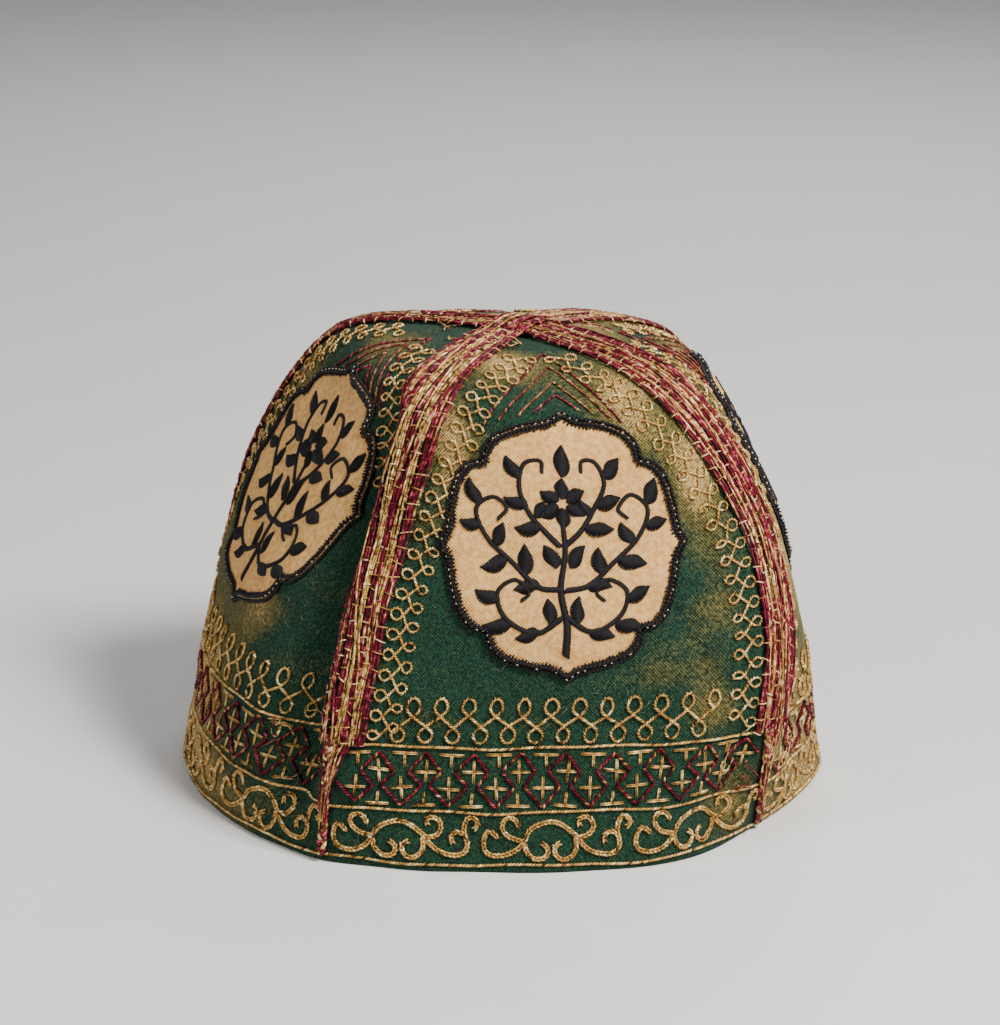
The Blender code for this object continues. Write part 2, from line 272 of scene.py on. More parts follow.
def bump(wires, height, depth):
    """A Bump node whose full height is the depth in metres."""
    values = {"Strength": 1.0, "Distance": depth, "Height": height}
    return wires.add("ShaderNodeBump", {}, values)


def make_green_cloth():
    """Green weave that fades to olive and then beige with the point attribute fade."""
    constants = {"Sheen Weight": 0.03, "Sheen Roughness": 0.6, "Specular IOR Level": 0.12}
    material, wires, shader = new_material("green_cloth", constants)
    place = object_place(wires)
    patches = noise(wires, place, 70.0, 4.0)
    streaks = noise(wires, wires.add("ShaderNodeMapping", {}, {
        0: place, "Rotation": STREAK_TURN, "Scale": STREAK_SCALE}), 60.0, 3.0)
    slubs = noise(wires, place, 1100.0, 3.0)
    fade = painted(wires, "fade")
    height = weave_height(wires)
    worn = (fade + (patches - 0.5) * 0.5 + (streaks - 0.5) * 0.5 + (slubs - 0.5) * 0.45
            + (height - 0.5) * 0.15)
    grain = slubs.between(0.3, 0.7)
    specks = noise(wires, place, 2400.0, 1.0).between(0.52, 0.74) * 0.3
    dark = specks.mix(grain.mix(linear(3, 34, 27), linear(26, 70, 52)), linear(120, 124, 70))
    olive = grain.mix(linear(74, 72, 34), linear(124, 112, 62))
    beige = grain.mix(linear(158, 126, 70), linear(214, 182, 122))
    first = worn.between(0.14, 0.5).mix(dark, olive)
    second = worn.between(0.45, 0.88).mix(first, beige)
    # The weave's low points turn near black: painted shade between the threads.
    threads = (height * 0.7 + 0.35).mix((0.0, 0.004, 0.002, 1.0), second)
    plug(wires, shader, {
        "Base Color": threads,
        "Roughness": 0.86 + slubs * 0.12,
        "Normal": bump(wires, height + slubs * 0.8, WEAVE_DEPTH),
    })
    return material


def make_cream_cloth():
    """Cream weave with faint brown stains, and painted shade in the weave's low points."""
    constants = {"Sheen Weight": 0.03, "Sheen Roughness": 0.6, "Specular IOR Level": 0.15}
    material, wires, shader = new_material("cream_cloth", constants)
    place = object_place(wires)
    stains = noise(wires, place, 60.0, 3.0).between(0.5, 0.78)
    slubs = noise(wires, place, 700.0, 2.0)
    height = weave_height(wires)
    clean = slubs.between(0.3, 0.7).mix(linear(210, 156, 88), linear(238, 194, 126))
    stained = (stains * 0.4).mix(clean, linear(186, 120, 60))
    # The weave's low points turn brown: painted shade between the threads.
    threads = (height * 0.5 + 0.55).mix(linear(132, 84, 40), stained)
    plug(wires, shader, {
        "Base Color": threads,
        "Roughness": 0.84 + slubs * 0.12,
        "Normal": bump(wires, height + slubs * 0.3, WEAVE_DEPTH),
    })
    return material


def make_floor():
    """Pale matt floor, with a grain too faint to be seen as a pattern."""
    material, wires, shader = new_material("pale_floor", {"Specular IOR Level": 0.2})
    place = object_place(wires)
    grain = noise(wires, place, 40.0, 3.0)
    plug(wires, shader, {
        "Base Color": grain.mix((0.66, 0.66, 0.665, 1.0), (0.69, 0.69, 0.695, 1.0)),
        "Roughness": 0.7 + grain * 0.1,
    })
    return material


GREEN_CLOTH = make_green_cloth()
CREAM_CLOTH = make_cream_cloth()
print("cloth materials:", GREEN_CLOTH.name, CREAM_CLOTH.name)

# %% [markdown]
# ## Thread
#
# Gold, crimson and black threads are all wound: a fine flat strip or floss turns round a
# core. Each point of a thread knows its angle round the thread and its length along it,
# and the sine of both together is a spiral. The spiral is the bump, and it darkens the
# grooves as painted shade. A second attribute dyes a stitch gold or crimson, and a third
# makes each stitch a little lighter or darker than its neighbours, as the hand-laid ones
# are; it also places painted glints and painted dark gaps along the thread.

# %% Make the thread materials
WINDING_DEPTH = 0.06 * MM
WINDING_PITCH = 0.45
WINDING_TURN = 2 * math.pi / WINDING_PITCH


def winding(wires):
    """Spiral from 0 to 1: the sine of the angle plus the turn times the length."""
    thread = painted(wires, "thread", 1)
    turn = thread.part(2) * WINDING_TURN
    return 0.5 + 0.5 * (thread.part(1) * turn.wave("COSINE") + thread.part(0) * turn.wave())


def make_laid_thread():
    """Gold where the attribute dye is 0 and crimson where it is 1, spiral wound; its glints and dark
    gaps are painted.
    """
    material, wires, shader = new_material("laid_thread", {"Specular IOR Level": 0.3})
    place = object_place(wires)
    # Noise for painted glints along the thread, which also varies the gloss.
    glint_and_gloss_noise = noise(wires, place, 900.0, 2.0)
    dye = painted(wires, "dye")
    tone_and_glint = painted(wires, "tone_and_glint")
    spiral = winding(wires)
    # Painted light: tone, spiral and glint noise make one brightness; its dark end is painted shade
    # in the gaps and its bright end a painted glint.
    light = tone_and_glint * 0.75 + spiral * 0.25 + (glint_and_gloss_noise - 0.5) * 0.8
    low = light.between(0.05, 0.55)
    high = light.between(0.55, 0.95)
    gold = high.mix(low.mix(linear(58, 36, 12), linear(198, 154, 84)), linear(255, 240, 184))
    crimson = high.mix(low.mix(linear(32, 2, 10), linear(112, 10, 36)), linear(198, 98, 106))
    plug(wires, shader, {
        "Base Color": dye.mix(gold, crimson),
        "Metallic": 0.6 - dye * 0.1,
        "Roughness": 0.3 + glint_and_gloss_noise * 0.2,
        "Normal": bump(wires, spiral, WINDING_DEPTH),
    })
    return material


def make_black_thread():
    """Black floss with a silk gloss. A tone of 2 gives the pale painted glints between rows."""
    material, wires, shader = new_material("black_thread", {"Specular IOR Level": 0.25})
    tone_and_glint = painted(wires, "tone_and_glint")
    spiral = winding(wires)
    soft = (tone_and_glint * 0.5 + spiral * 0.5).mix(linear(6, 5, 8), linear(26, 24, 30))
    plug(wires, shader, {
        # A tone over 1.2 turns a stitch pale cream: a painted glint.
        "Base Color": tone_and_glint.between(1.2, 1.8).mix(soft, linear(214, 200, 176)),
        "Roughness": 0.5 + spiral * 0.2,
        "Normal": bump(wires, spiral, WINDING_DEPTH),
    })
    return material


def make_lint():
    """Pale fibre, a little lighter in some places than in others."""
    material, wires, shader = new_material("lint", {"Specular IOR Level": 0.2})
    place = object_place(wires)
    grain = noise(wires, place, 300.0)
    plug(wires, shader, {
        "Base Color": grain.mix(linear(112, 112, 84), linear(190, 184, 156)),
        "Roughness": 0.7 + grain * 0.2,
    })
    return material


LAID_THREAD = make_laid_thread()
BLACK_THREAD = make_black_thread()
LINT = make_lint()
print("thread materials:", LAID_THREAD.name, BLACK_THREAD.name, LINT.name)

# %% [markdown]
# ## The shape of the gores
#
# Each gore is a function of two shares: u from seam to seam, and v from hem to crown. A
# seam is a row of reaches from the crown, and a gore bulges out of the straight line
# between its two seams. These are the same named tables and formulas that the solids were
# built from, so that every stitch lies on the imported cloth. The last five folds are only
# here: a deeper tuck in the left gore and four small creases in the front one.

# %% Repeat the cap's tables
SEAM_LENGTH = 185.0
CORNER_ROUND = 7.5
CORNER_SHARE = 0.3
PLAN_CENTRE = np.array((-12.8, -13.0))
CROWN = np.array((-8.0, -8.0))

LEVEL_TABLE = (
    (0.00, 0.0), (0.09, 17.0), (0.19, 35.0), (0.40, 72.0), (0.54, 95.0),
    (0.64, 113.0), (0.72, 125.0), (0.79, 131.0), (0.89, 135.5), (1.00, 136.8),
)
LEVELS, HEIGHTS = zip(*LEVEL_TABLE)

SEAM_TABLE = {
    "front_left": {
        "corner": (-63.6, -82.7),
        "reach": (1.01, 0.99, 0.965, 0.83, 0.71, 0.625, 0.54, 0.42, 0.215, 0.0),
        "swing": (0, 0, 0, 0, 0, 0, 0, 0, 0, 0),
    },
    "front_right": {
        "corner": (60.9, -57.5),
        "reach": (1.00, 1.08, 1.13, 1.085, 0.985, 0.86, 0.715, 0.585, 0.34, 0.0),
        "swing": (0, -6, -8, -3, 0, 0, 0, 0, 0, 0),
    },
    "back_right": {
        "corner": (42.0, 56.0),
        "reach": (1.00, 1.02, 1.03, 1.03, 0.97, 0.86, 0.73, 0.56, 0.29, 0.0),
        "swing": (0, -1, -2, -5, -9, -10, -10, -7, -3, 0),
    },
    "back_left": {
        "corner": (-101.0, 42.0),
        "reach": (1.03, 1.02, 1.005, 0.94, 0.87, 0.77, 0.665, 0.565, 0.30, 0.0),
        "swing": (0, 0, 0, 0, 0, 0, 0, 0, 0, 0),
    },
}

GORE_TABLE = {
    "front": {
        "seams": ("front_left", "front_right"),
        "bulge": (22, 13, 7, 8, 9, 9, 9, 8, 5, 0),
        "crest": (0.70, 0.68, 0.62, 0.5, 0.5, 0.5, 0.5, 0.5, 0.5, 0.5),
    },
    "right": {
        "seams": ("front_right", "back_right"),
        "bulge": (32, 27, 22, 13, 9, 7, 7, 6, 4, 0),
        "crest": (0.45, 0.45, 0.42, 0.38, 0.4, 0.5, 0.5, 0.5, 0.5, 0.5),
    },
    "back": {
        "seams": ("back_right", "back_left"),
        "bulge": (12, 13, 14, 14, 13, 12, 10, 8, 5, 0),
        "crest": (0.5, 0.5, 0.5, 0.5, 0.5, 0.5, 0.5, 0.5, 0.5, 0.5),
    },
    "left": {
        "seams": ("back_left", "front_left"),
        "bulge": (23, 20, 17, 10, 3, 0, 0, 1, 1, 0),
        "crest": (0.5, 0.52, 0.5, 0.42, 0.32, 0.32, 0.4, 0.5, 0.5, 0.5),
    },
}
NEIGHBOURS = {
    "front": ("left", "right"),
    "right": ("front", "back"),
    "back": ("right", "left"),
    "left": ("back", "front"),
}

FOLD_TABLE = (
    ("left", (0.90, 0.20), (0.88, 0.66), -6.0, 12.0),
    ("front", (0.66, 0.84), (0.84, 0.60), 2.6, 9.0),
    ("front", (0.50, 0.83), (0.66, 0.70), -1.2, 7.0),
    ("front", (0.86, 0.04), (0.93, 0.16), -3.0, 7.0),
    ("right", (0.20, 0.02), (0.12, 0.20), -2.5, 8.0),
    ("back", (0.30, 0.10), (0.36, 0.50), -2.5, 12.0),
    ("back", (0.70, 0.30), (0.62, 0.62), 2.0, 12.0),
    ("left", (0.92, 0.12), (0.91, 0.56), -6.5, 7.5),
    ("front", (0.58, 0.84), (0.72, 0.72), -1.6, 4.0),
    ("front", (0.80, 0.22), (0.94, 0.36), -0.8, 5.0),
    ("front", (0.77, 0.39), (0.84, 0.29), -1.2, 3.4),
    ("front", (0.83, 0.53), (0.87, 0.42), -1.0, 3.2),
)
FOLD_FADE = 7.0
FOLD_HEM_FADE = 0.03
EDGE_STEP = 0.001
print("gores:", ", ".join(GORE_TABLE))


# %% Work out seams and gores
def smooth_row(values, where):
    """Smooth curve through one value for each level, read at the levels in an array."""
    places = np.asarray(LEVELS, float)
    values = np.asarray(values, float)
    steps = np.diff(places)
    slopes = np.diff(values) / steps
    tangents = np.empty_like(values)
    tangents[0] = slopes[0]
    tangents[-1] = slopes[-1]
    tangents[1:-1] = (slopes[:-1] * steps[1:] + slopes[1:] * steps[:-1]) / (steps[:-1] + steps[1:])
    first = np.clip(np.searchsorted(places, where, side="right") - 1, 0, len(steps) - 1)
    span = steps[first]
    t = (where - places[first]) / span
    return (
        values[first] * (1 + 2 * t) * (1 - t) ** 2
        + values[first + 1] * t * t * (3 - 2 * t)
        + span * (tangents[first] * t * (1 - t) ** 2 - tangents[first + 1] * t * t * (1 - t))
    )


def unit(vectors):
    """Vectors of length one, safe where a vector has no length."""
    length = np.linalg.norm(vectors, axis=-1, keepdims=True)
    return vectors / np.maximum(length, 1e-12)


def seam_point(name, v):
    """Point of a seam at level v: out from the crown by its reach, aside by its swing."""
    row = SEAM_TABLE[name]
    arm = np.array(row["corner"]) - CROWN
    along = arm / np.linalg.norm(arm)
    aside = np.array((-along[1], along[0]))
    reach = smooth_row(row["reach"], v) * np.linalg.norm(arm)
    plan = CROWN - PLAN_CENTRE + reach[..., None] * along
    plan = plan + smooth_row(row["swing"], v)[..., None] * aside
    return np.concatenate([plan, smooth_row(HEIGHTS, v)[..., None]], axis=-1)


def bulged_point(name, u, v):
    """The straight line between the gore's two seams, pushed out by the bulge times one
    minus the squared way from the crest."""
    row = GORE_TABLE[name]
    first, second = (seam_point(seam, v) for seam in row["seams"])
    crest = smooth_row(row["crest"], v)
    away = np.where(u < crest, 1 - u / crest, (u - crest) / (1 - crest))
    chord = second - first
    out = unit(np.stack([chord[..., 1], -chord[..., 0], np.zeros_like(u)], axis=-1))
    bulge = smooth_row(row["bulge"], v) * (1 - away**2)
    return first + chord * u[..., None] + out * bulge[..., None]


def leaving_direction(name, end, v):
    """Direction in which a gore leaves its first (0) or second (1) seam."""
    start = np.full_like(v, float(end))
    inside = np.full_like(v, EDGE_STEP if end == 0 else 1 - EDGE_STEP)
    return unit(bulged_point(name, inside, v) - bulged_point(name, start, v))


def fold_height(name, u, v, width):
    """Sum of the gore's folds: each is a bell curve of the distance to a straight line."""
    place = np.stack([(u - 0.5) * width, v * SEAM_LENGTH], axis=-1)
    total = np.zeros_like(u)
    for gore, start, end, height, half_width in FOLD_TABLE:
        if gore != name:
            continue
        ends = [np.stack([(share - 0.5) * width, np.full_like(v, level * SEAM_LENGTH)], axis=-1)
                for share, level in (start, end)]
        line = ends[1] - ends[0]
        share = np.sum((place - ends[0]) * line, axis=-1) / np.sum(line * line, axis=-1)
        nearest = ends[0] + line * np.clip(share, 0, 1)[..., None]
        distance = np.linalg.norm(place - nearest, axis=-1)
        total += height * np.exp(-((distance / half_width) ** 2))
    to_seam = np.minimum(u, 1 - u) * width
    return total * (1 - np.exp(-((to_seam / FOLD_FADE) ** 2))) * np.clip(v / FOLD_HEM_FADE, 0, 1)


def gore_surface(name, u, v):
    """Outer face of a gore: bulge and folds, then both gores at a seam pulled in by
    (their two leaving directions) * (sqrt(d * d + c * c) - d) / 2, which rounds the ridge."""
    before, after = NEIGHBOURS[name]
    first, second = (seam_point(seam, v) for seam in GORE_TABLE[name]["seams"])
    chord = second - first
    width = np.linalg.norm(chord, axis=-1)
    out = unit(np.stack([chord[..., 1], -chord[..., 0], np.zeros_like(u)], axis=-1))
    points = bulged_point(name, u, v) + out * fold_height(name, u, v, width)[..., None]
    pull_first = leaving_direction(name, 0, v) + leaving_direction(before, 1, v)
    pull_second = leaving_direction(name, 1, v) + leaving_direction(after, 0, v)
    for pull, share, seam in ((pull_first, u, first), (pull_second, 1 - u, second)):
        reach = np.linalg.norm(seam[..., :2] - (CROWN - PLAN_CENTRE), axis=-1)
        corner = np.minimum(CORNER_ROUND, CORNER_SHARE * reach)
        distance = share * width
        amount = (np.sqrt(distance**2 + corner**2) - distance) / 2 * (1 - share**2)
        points = points + pull * amount[..., None]
    return points


print("front-left seam at the hem:", seam_point("front_left", np.array([0.0])).round(1))

# %% [markdown]
# ## Charts
#
# An embroiderer thinks in millimetres on the cloth. A chart is a table for each gore
# that turns them into places: its rows are levels from hem to crown, and its columns are
# equal steps of length across the cloth. Reading it between four neighbours places any
# number of stitches at once. Small wrinkles are added here, so that everything sewn on
# the cloth follows them.

# %% Make a chart for each gore
ROWS = 300
COLUMNS = 181
FINE_COLUMNS = 361
LAST_LEVEL = 0.996
ROW_NUMBERS = np.arange(ROWS)
WRINKLES = 9
WRINKLE_LENGTHS = (11, 34)
WRINKLE_STEEPNESS = 0.0045
WRINKLE_FADE = 9.0
TURN = 2 * math.pi


def path_length(path):
    """Length along a path at each of its points."""
    return np.concatenate([[0.0], np.cumsum(np.linalg.norm(np.diff(path, axis=0), axis=1))])


def outward_directions(place):
    """Directions square to a grid of points: its step across crossed with its step up."""
    return unit(np.cross(np.gradient(place, axis=1), np.gradient(place, axis=0)))


def wrinkle_height(seed, x, y):
    """Sum of waves in random directions, each a tenth of a mm or so high."""
    draw = np.random.default_rng(seed)
    length = draw.uniform(*WRINKLE_LENGTHS, WRINKLES)
    turn = draw.uniform(0, TURN, WRINKLES)
    start = draw.uniform(0, TURN, WRINKLES)
    phase = (x[..., None] * np.cos(turn) + y[..., None] * np.sin(turn)) * TURN / length
    return np.sum(WRINKLE_STEEPNESS * length * np.sin(phase + start), axis=-1)


def make_chart(name, seed):
    """Places and outward directions on rows of level and columns of equal length."""
    level = np.linspace(0, LAST_LEVEL, ROWS)
    share, level_grid = np.meshgrid(np.linspace(0, 1, FINE_COLUMNS), level)
    fine = gore_surface(name, share, level_grid)
    across = np.linalg.norm(np.diff(fine, axis=1), axis=2)
    across = np.concatenate([np.zeros((ROWS, 1)), np.cumsum(across, axis=1)], axis=1)
    up = path_length(fine[:, FINE_COLUMNS // 2])
    width = across[:, -1]
    before = across[:, FINE_COLUMNS // 2]
    wanted = np.linspace(0, 1, COLUMNS) * width[:, None]
    place = np.stack([
        np.stack([np.interp(wanted[row], across[row], fine[row, :, axis])
                  for row in range(ROWS)])
        for axis in range(3)], axis=-1)
    to_seam = np.minimum(wanted, width[:, None] - wanted)
    fade = 1 - np.exp(-((to_seam / WRINKLE_FADE) ** 2))
    height = wrinkle_height(seed, wanted - before[:, None], up[:, None]) * fade
    place = place + outward_directions(place) * height[..., None]
    return {"place": place, "outward": outward_directions(place), "up": up,
            "width": width, "before": before}


CHARTS = {name: make_chart(name, 40 + order) for order, name in enumerate(GORE_TABLE)}
SEAM_SIDES = {
    seam: (
        next(name for name, row in GORE_TABLE.items() if row["seams"][1] == seam),
        next(name for name, row in GORE_TABLE.items() if row["seams"][0] == seam),
    )
    for seam in SEAM_TABLE
}
for name, chart in CHARTS.items():
    print(name, "hem", round(chart["width"][0], 1), "height", round(chart["up"][-1], 1))


# %% Read places from a chart
def read_chart(name, share, row, lift):
    """Places and outward directions between four neighbours of the chart, lifted."""
    chart = CHARTS[name]
    column = np.clip(share, 0, 1) * (COLUMNS - 1)
    row = np.clip(row, 0, ROWS - 1)
    left = np.minimum(column.astype(int), COLUMNS - 2)
    low = np.minimum(row.astype(int), ROWS - 2)
    across = (column - left)[..., None]
    along = (row - low)[..., None]

    def between(table):
        below = table[low, left] * (1 - across) + table[low, left + 1] * across
        above = table[low + 1, left] * (1 - across) + table[low + 1, left + 1] * across
        return below * (1 - along) + above * along

    outward = unit(between(chart["outward"]))
    return between(chart["place"]) + outward * np.asarray(lift)[..., None], outward


def gore_span(name, y):
    """How far the cloth goes to the left and right of the middle line at a height."""
    chart = CHARTS[name]
    before = np.interp(y, chart["up"], chart["before"])
    return -before, np.interp(y, chart["up"], chart["width"]) - before


def on_cloth(name, x, y, lift):
    """Places x mm across from a gore's middle line and y mm up from its hem."""
    left, right = gore_span(name, y)
    row = np.interp(y, CHARTS[name]["up"], ROW_NUMBERS)
    return read_chart(name, (x - left) / (right - left), row, lift)


def over_seam(seam, offset, level, lift):
    """Places beside a seam: the offset is negative on the gore that ends there."""
    row = level / LAST_LEVEL * (ROWS - 1)
    place = np.empty(offset.shape + (3,))
    outward = np.empty(offset.shape + (3,))
    ending, starting = SEAM_SIDES[seam]
    for name, side in ((ending, offset < 0), (starting, offset >= 0)):
        width = np.interp(row[side], ROW_NUMBERS, CHARTS[name]["width"])
        share = np.abs(offset[side]) / width
        share = 1 - share if name == ending else share
        place[side], outward[side] = read_chart(name, share, row[side], lift[side])
    return place, outward


print("span of each gore 90 mm up:", {name: np.round(gore_span(name, 90.0), 1) for name in CHARTS})

# %% [markdown]
# ## From arrays to meshes
#
# One function puts arrays of points and faces into a mesh, with the numbers that the
# materials read as point attributes. Points are in mm up to here and in metres from here.

# %% Put arrays into a mesh
def add_piece(name, points, faces, material, attributes, cloth_map=None):
    """A smooth-shaded object from points in mm and groups of faces with equal corners."""
    mesh = bpy.data.meshes.new(name)
    corners = np.concatenate([group.ravel() for group in faces]).astype(np.int32)
    sizes = np.concatenate([np.full(len(group), group.shape[1]) for group in faces])
    starts = np.concatenate([[0], np.cumsum(sizes)[:-1]]).astype(np.int32)
    mesh.vertices.add(len(points))
    mesh.vertices.foreach_set("co", (points * MM).astype(np.float32).ravel())
    mesh.loops.add(len(corners))
    mesh.loops.foreach_set("vertex_index", corners)
    mesh.polygons.add(len(sizes))
    mesh.polygons.foreach_set("loop_start", starts)
    mesh.update(calc_edges=True)
    mesh.validate()
    for label, values in attributes.items():
        kind = "FLOAT_VECTOR" if values.ndim == 2 else "FLOAT"
        layer = mesh.attributes.new(label, kind, "POINT")
        layer.data.foreach_set("vector" if values.ndim == 2 else "value",
                               values.astype(np.float32).ravel())
    if cloth_map is not None:
        layer = mesh.uv_layers.new(name="cloth")
        layer.data.foreach_set("uv", cloth_map[corners].astype(np.float32).ravel())
    mesh.shade_smooth()
    mesh.materials.append(material)
    piece = bpy.data.objects.new(name, mesh)
    bpy.context.scene.collection.objects.link(piece)
    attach(piece, "root")
    print(name, "triangles:", int(np.sum(sizes - 2)))
    return piece


def shell_faces(rows, columns):
    """Faces of a closed shell: an outer grid, an inner grid after it, and its four sides."""
    index = np.arange(rows * columns).reshape(rows, columns)
    inner = index + rows * columns
    quads = np.stack([index[:-1, :-1], index[:-1, 1:], index[1:, 1:], index[1:, :-1]], -1)
    outer_faces = quads.reshape(-1, 4)
    inner_faces = outer_faces[:, ::-1] + rows * columns
    round_edge = np.concatenate(
        [index[0, :-1], index[:-1, -1], index[-1, :0:-1], index[:0:-1, 0]])
    below = np.concatenate([inner[0, :-1], inner[:-1, -1], inner[-1, :0:-1], inner[:0:-1, 0]])
    sides = np.stack([round_edge, below, np.roll(below, -1), np.roll(round_edge, -1)], -1)
    return [np.concatenate([outer_faces, inner_faces, sides])]


print("a 3 by 3 shell has", len(shell_faces(3, 3)[0]), "faces")

# %% [markdown]
# ## Gores
#
# A gore is a thin shell: the outer face from the chart and an inner face one cloth
# thickness in. Close to the hem both faces turn in on a quarter circle, which makes the
# round edge of folded cloth. The faded patches are a short list of soft ovals.

# %% Build the four gores
CLOTH = 2.0
GORE_GRID = (100, 86)
GORE_GAP = 0.08
HEM_ROUND = 1.0
HEM_ROWS = (0.0, 0.12, 0.35, 0.7, 1.1, 1.6)
WALL_START = 2.4
GORE_TOP = 0.992

# Faded patches: middle across and up in mm, half sizes in mm, and strength
FADE_TABLE = {
    "front": (0.0, (
        (-31, 122, 8, 20, 0.75), (38, 112, 8, 15, 0.8), (43, 76, 9, 27, 0.33), (46, 46, 8, 12, 0.36),
        (-12, 152, 15, 9, 0.75), (20, 135, 12, 17, 0.85), (57, 12, 10, 13, 0.45),
        (26, 58, 9, 8, 0.3), (-44, 100, 5, 14, 0.2), (-20, 45, 22, 5, 0.12),
    )),
    "right": (0.70, (
        (-38, 56, 10, 14, -0.3), (18, 80, 12, 30, -0.45), (-56, 14, 9, 12, -0.45),
        (30, 30, 20, 14, -0.45), (-12, 149, 11, 9, -0.7), (-24, 134, 5, 10, -0.4),
        (-38, 112, 7, 16, -0.45), (8, 152, 8, 8, -0.6), (20, 132, 8, 10, -0.5),
    )),
    "back": (0.12, (
        (-30, 120, 14, 20, 0.55), (35, 60, 16, 26, 0.5), (0, 20, 30, 10, 0.35),
        (10, 150, 12, 9, 0.5),
    )),
    "left": (0.06, (
        (-14, 30, 26, 26, 0.85), (14, 8, 34, 10, 0.45), (-34, 126, 12, 16, 0.5),
        (14, 62, 14, 8, 0.5), (-2, 150, 12, 8, 0.4), (-48, 60, 16, 30, 0.4),
    )),
}


def fade_at(name, x, y):
    """How faded the cloth is: a base plus soft ovals, each a bell curve, from 0 to 1."""
    base, ovals = FADE_TABLE[name]
    total = np.full(np.shape(x), float(base))
    for middle_x, middle_y, half_x, half_y, strength in ovals:
        distance = ((x - middle_x) / half_x) ** 2 + ((y - middle_y) / half_y) ** 2
        total += strength * np.exp(-distance)
    return np.clip(total, 0, 1)


def build_gore(name):
    """Closed shell of one gore, with its weave map in mm and its fading."""
    chart = CHARTS[name]
    top = np.interp(GORE_TOP, np.linspace(0, LAST_LEVEL, ROWS), chart["up"])
    y = np.concatenate([HEM_ROWS, np.linspace(WALL_START, top, GORE_GRID[0] - len(HEM_ROWS))])
    left, right = (edge[:, None] for edge in gore_span(name, y))
    gap = GORE_GAP / (right - left)
    share = gap + (1 - 2 * gap) * np.linspace(0, 1, GORE_GRID[1])
    rows = np.broadcast_to(np.interp(y, chart["up"], ROW_NUMBERS)[:, None], share.shape)
    turn = np.clip(1 - y / HEM_ROUND, 0, 1)
    tuck = HEM_ROUND * (1 - np.sqrt(1 - turn**2))[:, None]
    outer = read_chart(name, share, rows, np.broadcast_to(-tuck, share.shape))[0]
    inner = read_chart(name, share, rows, np.broadcast_to(tuck - CLOTH, share.shape))[0]
    points = np.concatenate([outer.reshape(-1, 3), inner.reshape(-1, 3)])
    points[:, 2] = np.maximum(points[:, 2], 0.0)
    x = (left + share * (right - left)).ravel()
    up = np.broadcast_to(y[:, None], share.shape).ravel()
    places = np.tile(np.stack([x, up], axis=-1), (2, 1))
    fade = np.tile(fade_at(name, x, up), 2)
    piece = add_piece("cloth_" + name, points, shell_faces(*share.shape), GREEN_CLOTH,
                      {"fade": fade}, places)
    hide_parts("panel_" + name)
    return piece


for name in GORE_TABLE:
    build_gore(name)

# %% [markdown]
# ## Stitches
#
# The embroidery is tens of thousands of short stitches, so each one is a small spindle of
# 20 triangles: three square rings along a line, thick in the middle, closed at both ends.
# One sweep makes them all. Couched cord looks twisted because its stitches lean across the
# path. Chain stitch is two rows that lean apart. Satin stitch lies square across a shape.

# %% Define the sweep and the stitch collector
def sweep(places, outward, wide, tall, sides):
    """Many tubes of equal ring count: rings of points round each place, the side
    direction being the path's direction crossed with the outward direction."""
    count, rings = places.shape[:2]
    ahead = unit(np.gradient(places, axis=1))
    side = unit(np.cross(ahead, outward))
    top = np.cross(side, ahead)
    angle = np.arange(sides) * 2 * math.pi / sides
    points = (
        places[:, :, None]
        + side[:, :, None] * (wide[..., None] * np.cos(angle))[..., None]
        + top[:, :, None] * (tall[..., None] * np.sin(angle))[..., None]
    )
    index = np.arange(count * rings * sides).reshape(count, rings, sides)
    turned = np.roll(index, -1, axis=2)
    walls = np.stack([index[:, :-1], index[:, 1:], turned[:, 1:], turned[:, :-1]], -1)
    first_caps = index[:, 0]
    last_caps = index[:, -1, ::-1]
    steps = np.linalg.norm(np.diff(places, axis=1), axis=2)
    along = np.concatenate([np.zeros((count, 1)), np.cumsum(steps, axis=1)], axis=1)
    thread = np.stack([
        np.broadcast_to(np.cos(angle), points.shape[:3]),
        np.broadcast_to(np.sin(angle), points.shape[:3]),
        np.broadcast_to(along[..., None], points.shape[:3]),
    ], axis=-1)
    faces = [walls.reshape(-1, 4), np.concatenate([first_caps, last_caps])]
    return points.reshape(-1, 3), faces, thread.reshape(-1, 3)


def joined(sweeps):
    """Several sweeps as one: each one's faces are counted on from the points before it."""
    starts = np.cumsum([0] + [len(each[0]) for each in sweeps[:-1]])
    faces = [group + start for each, start in zip(sweeps, starts) for group in each[1]]
    return (np.concatenate([each[0] for each in sweeps]), faces,
            np.concatenate([each[2] for each in sweeps]))


STITCH_RINGS = (0.5, 1.0, 0.5)
STITCH_LIFT = (0.22, 0.5, 0.22)
STITCH_SIDES = 4
UNEVEN_WIDTH = (0.88, 1.12)
UNEVEN_HEIGHT = (0.9, 1.1)
TONE_SPREAD = 0.22
# A share of stitches in a crimson row is dyed mostly gold: painted glints.
GOLD_GLINT_SHARE = 0.14
GOLD_GLINT_DYE = 0.35


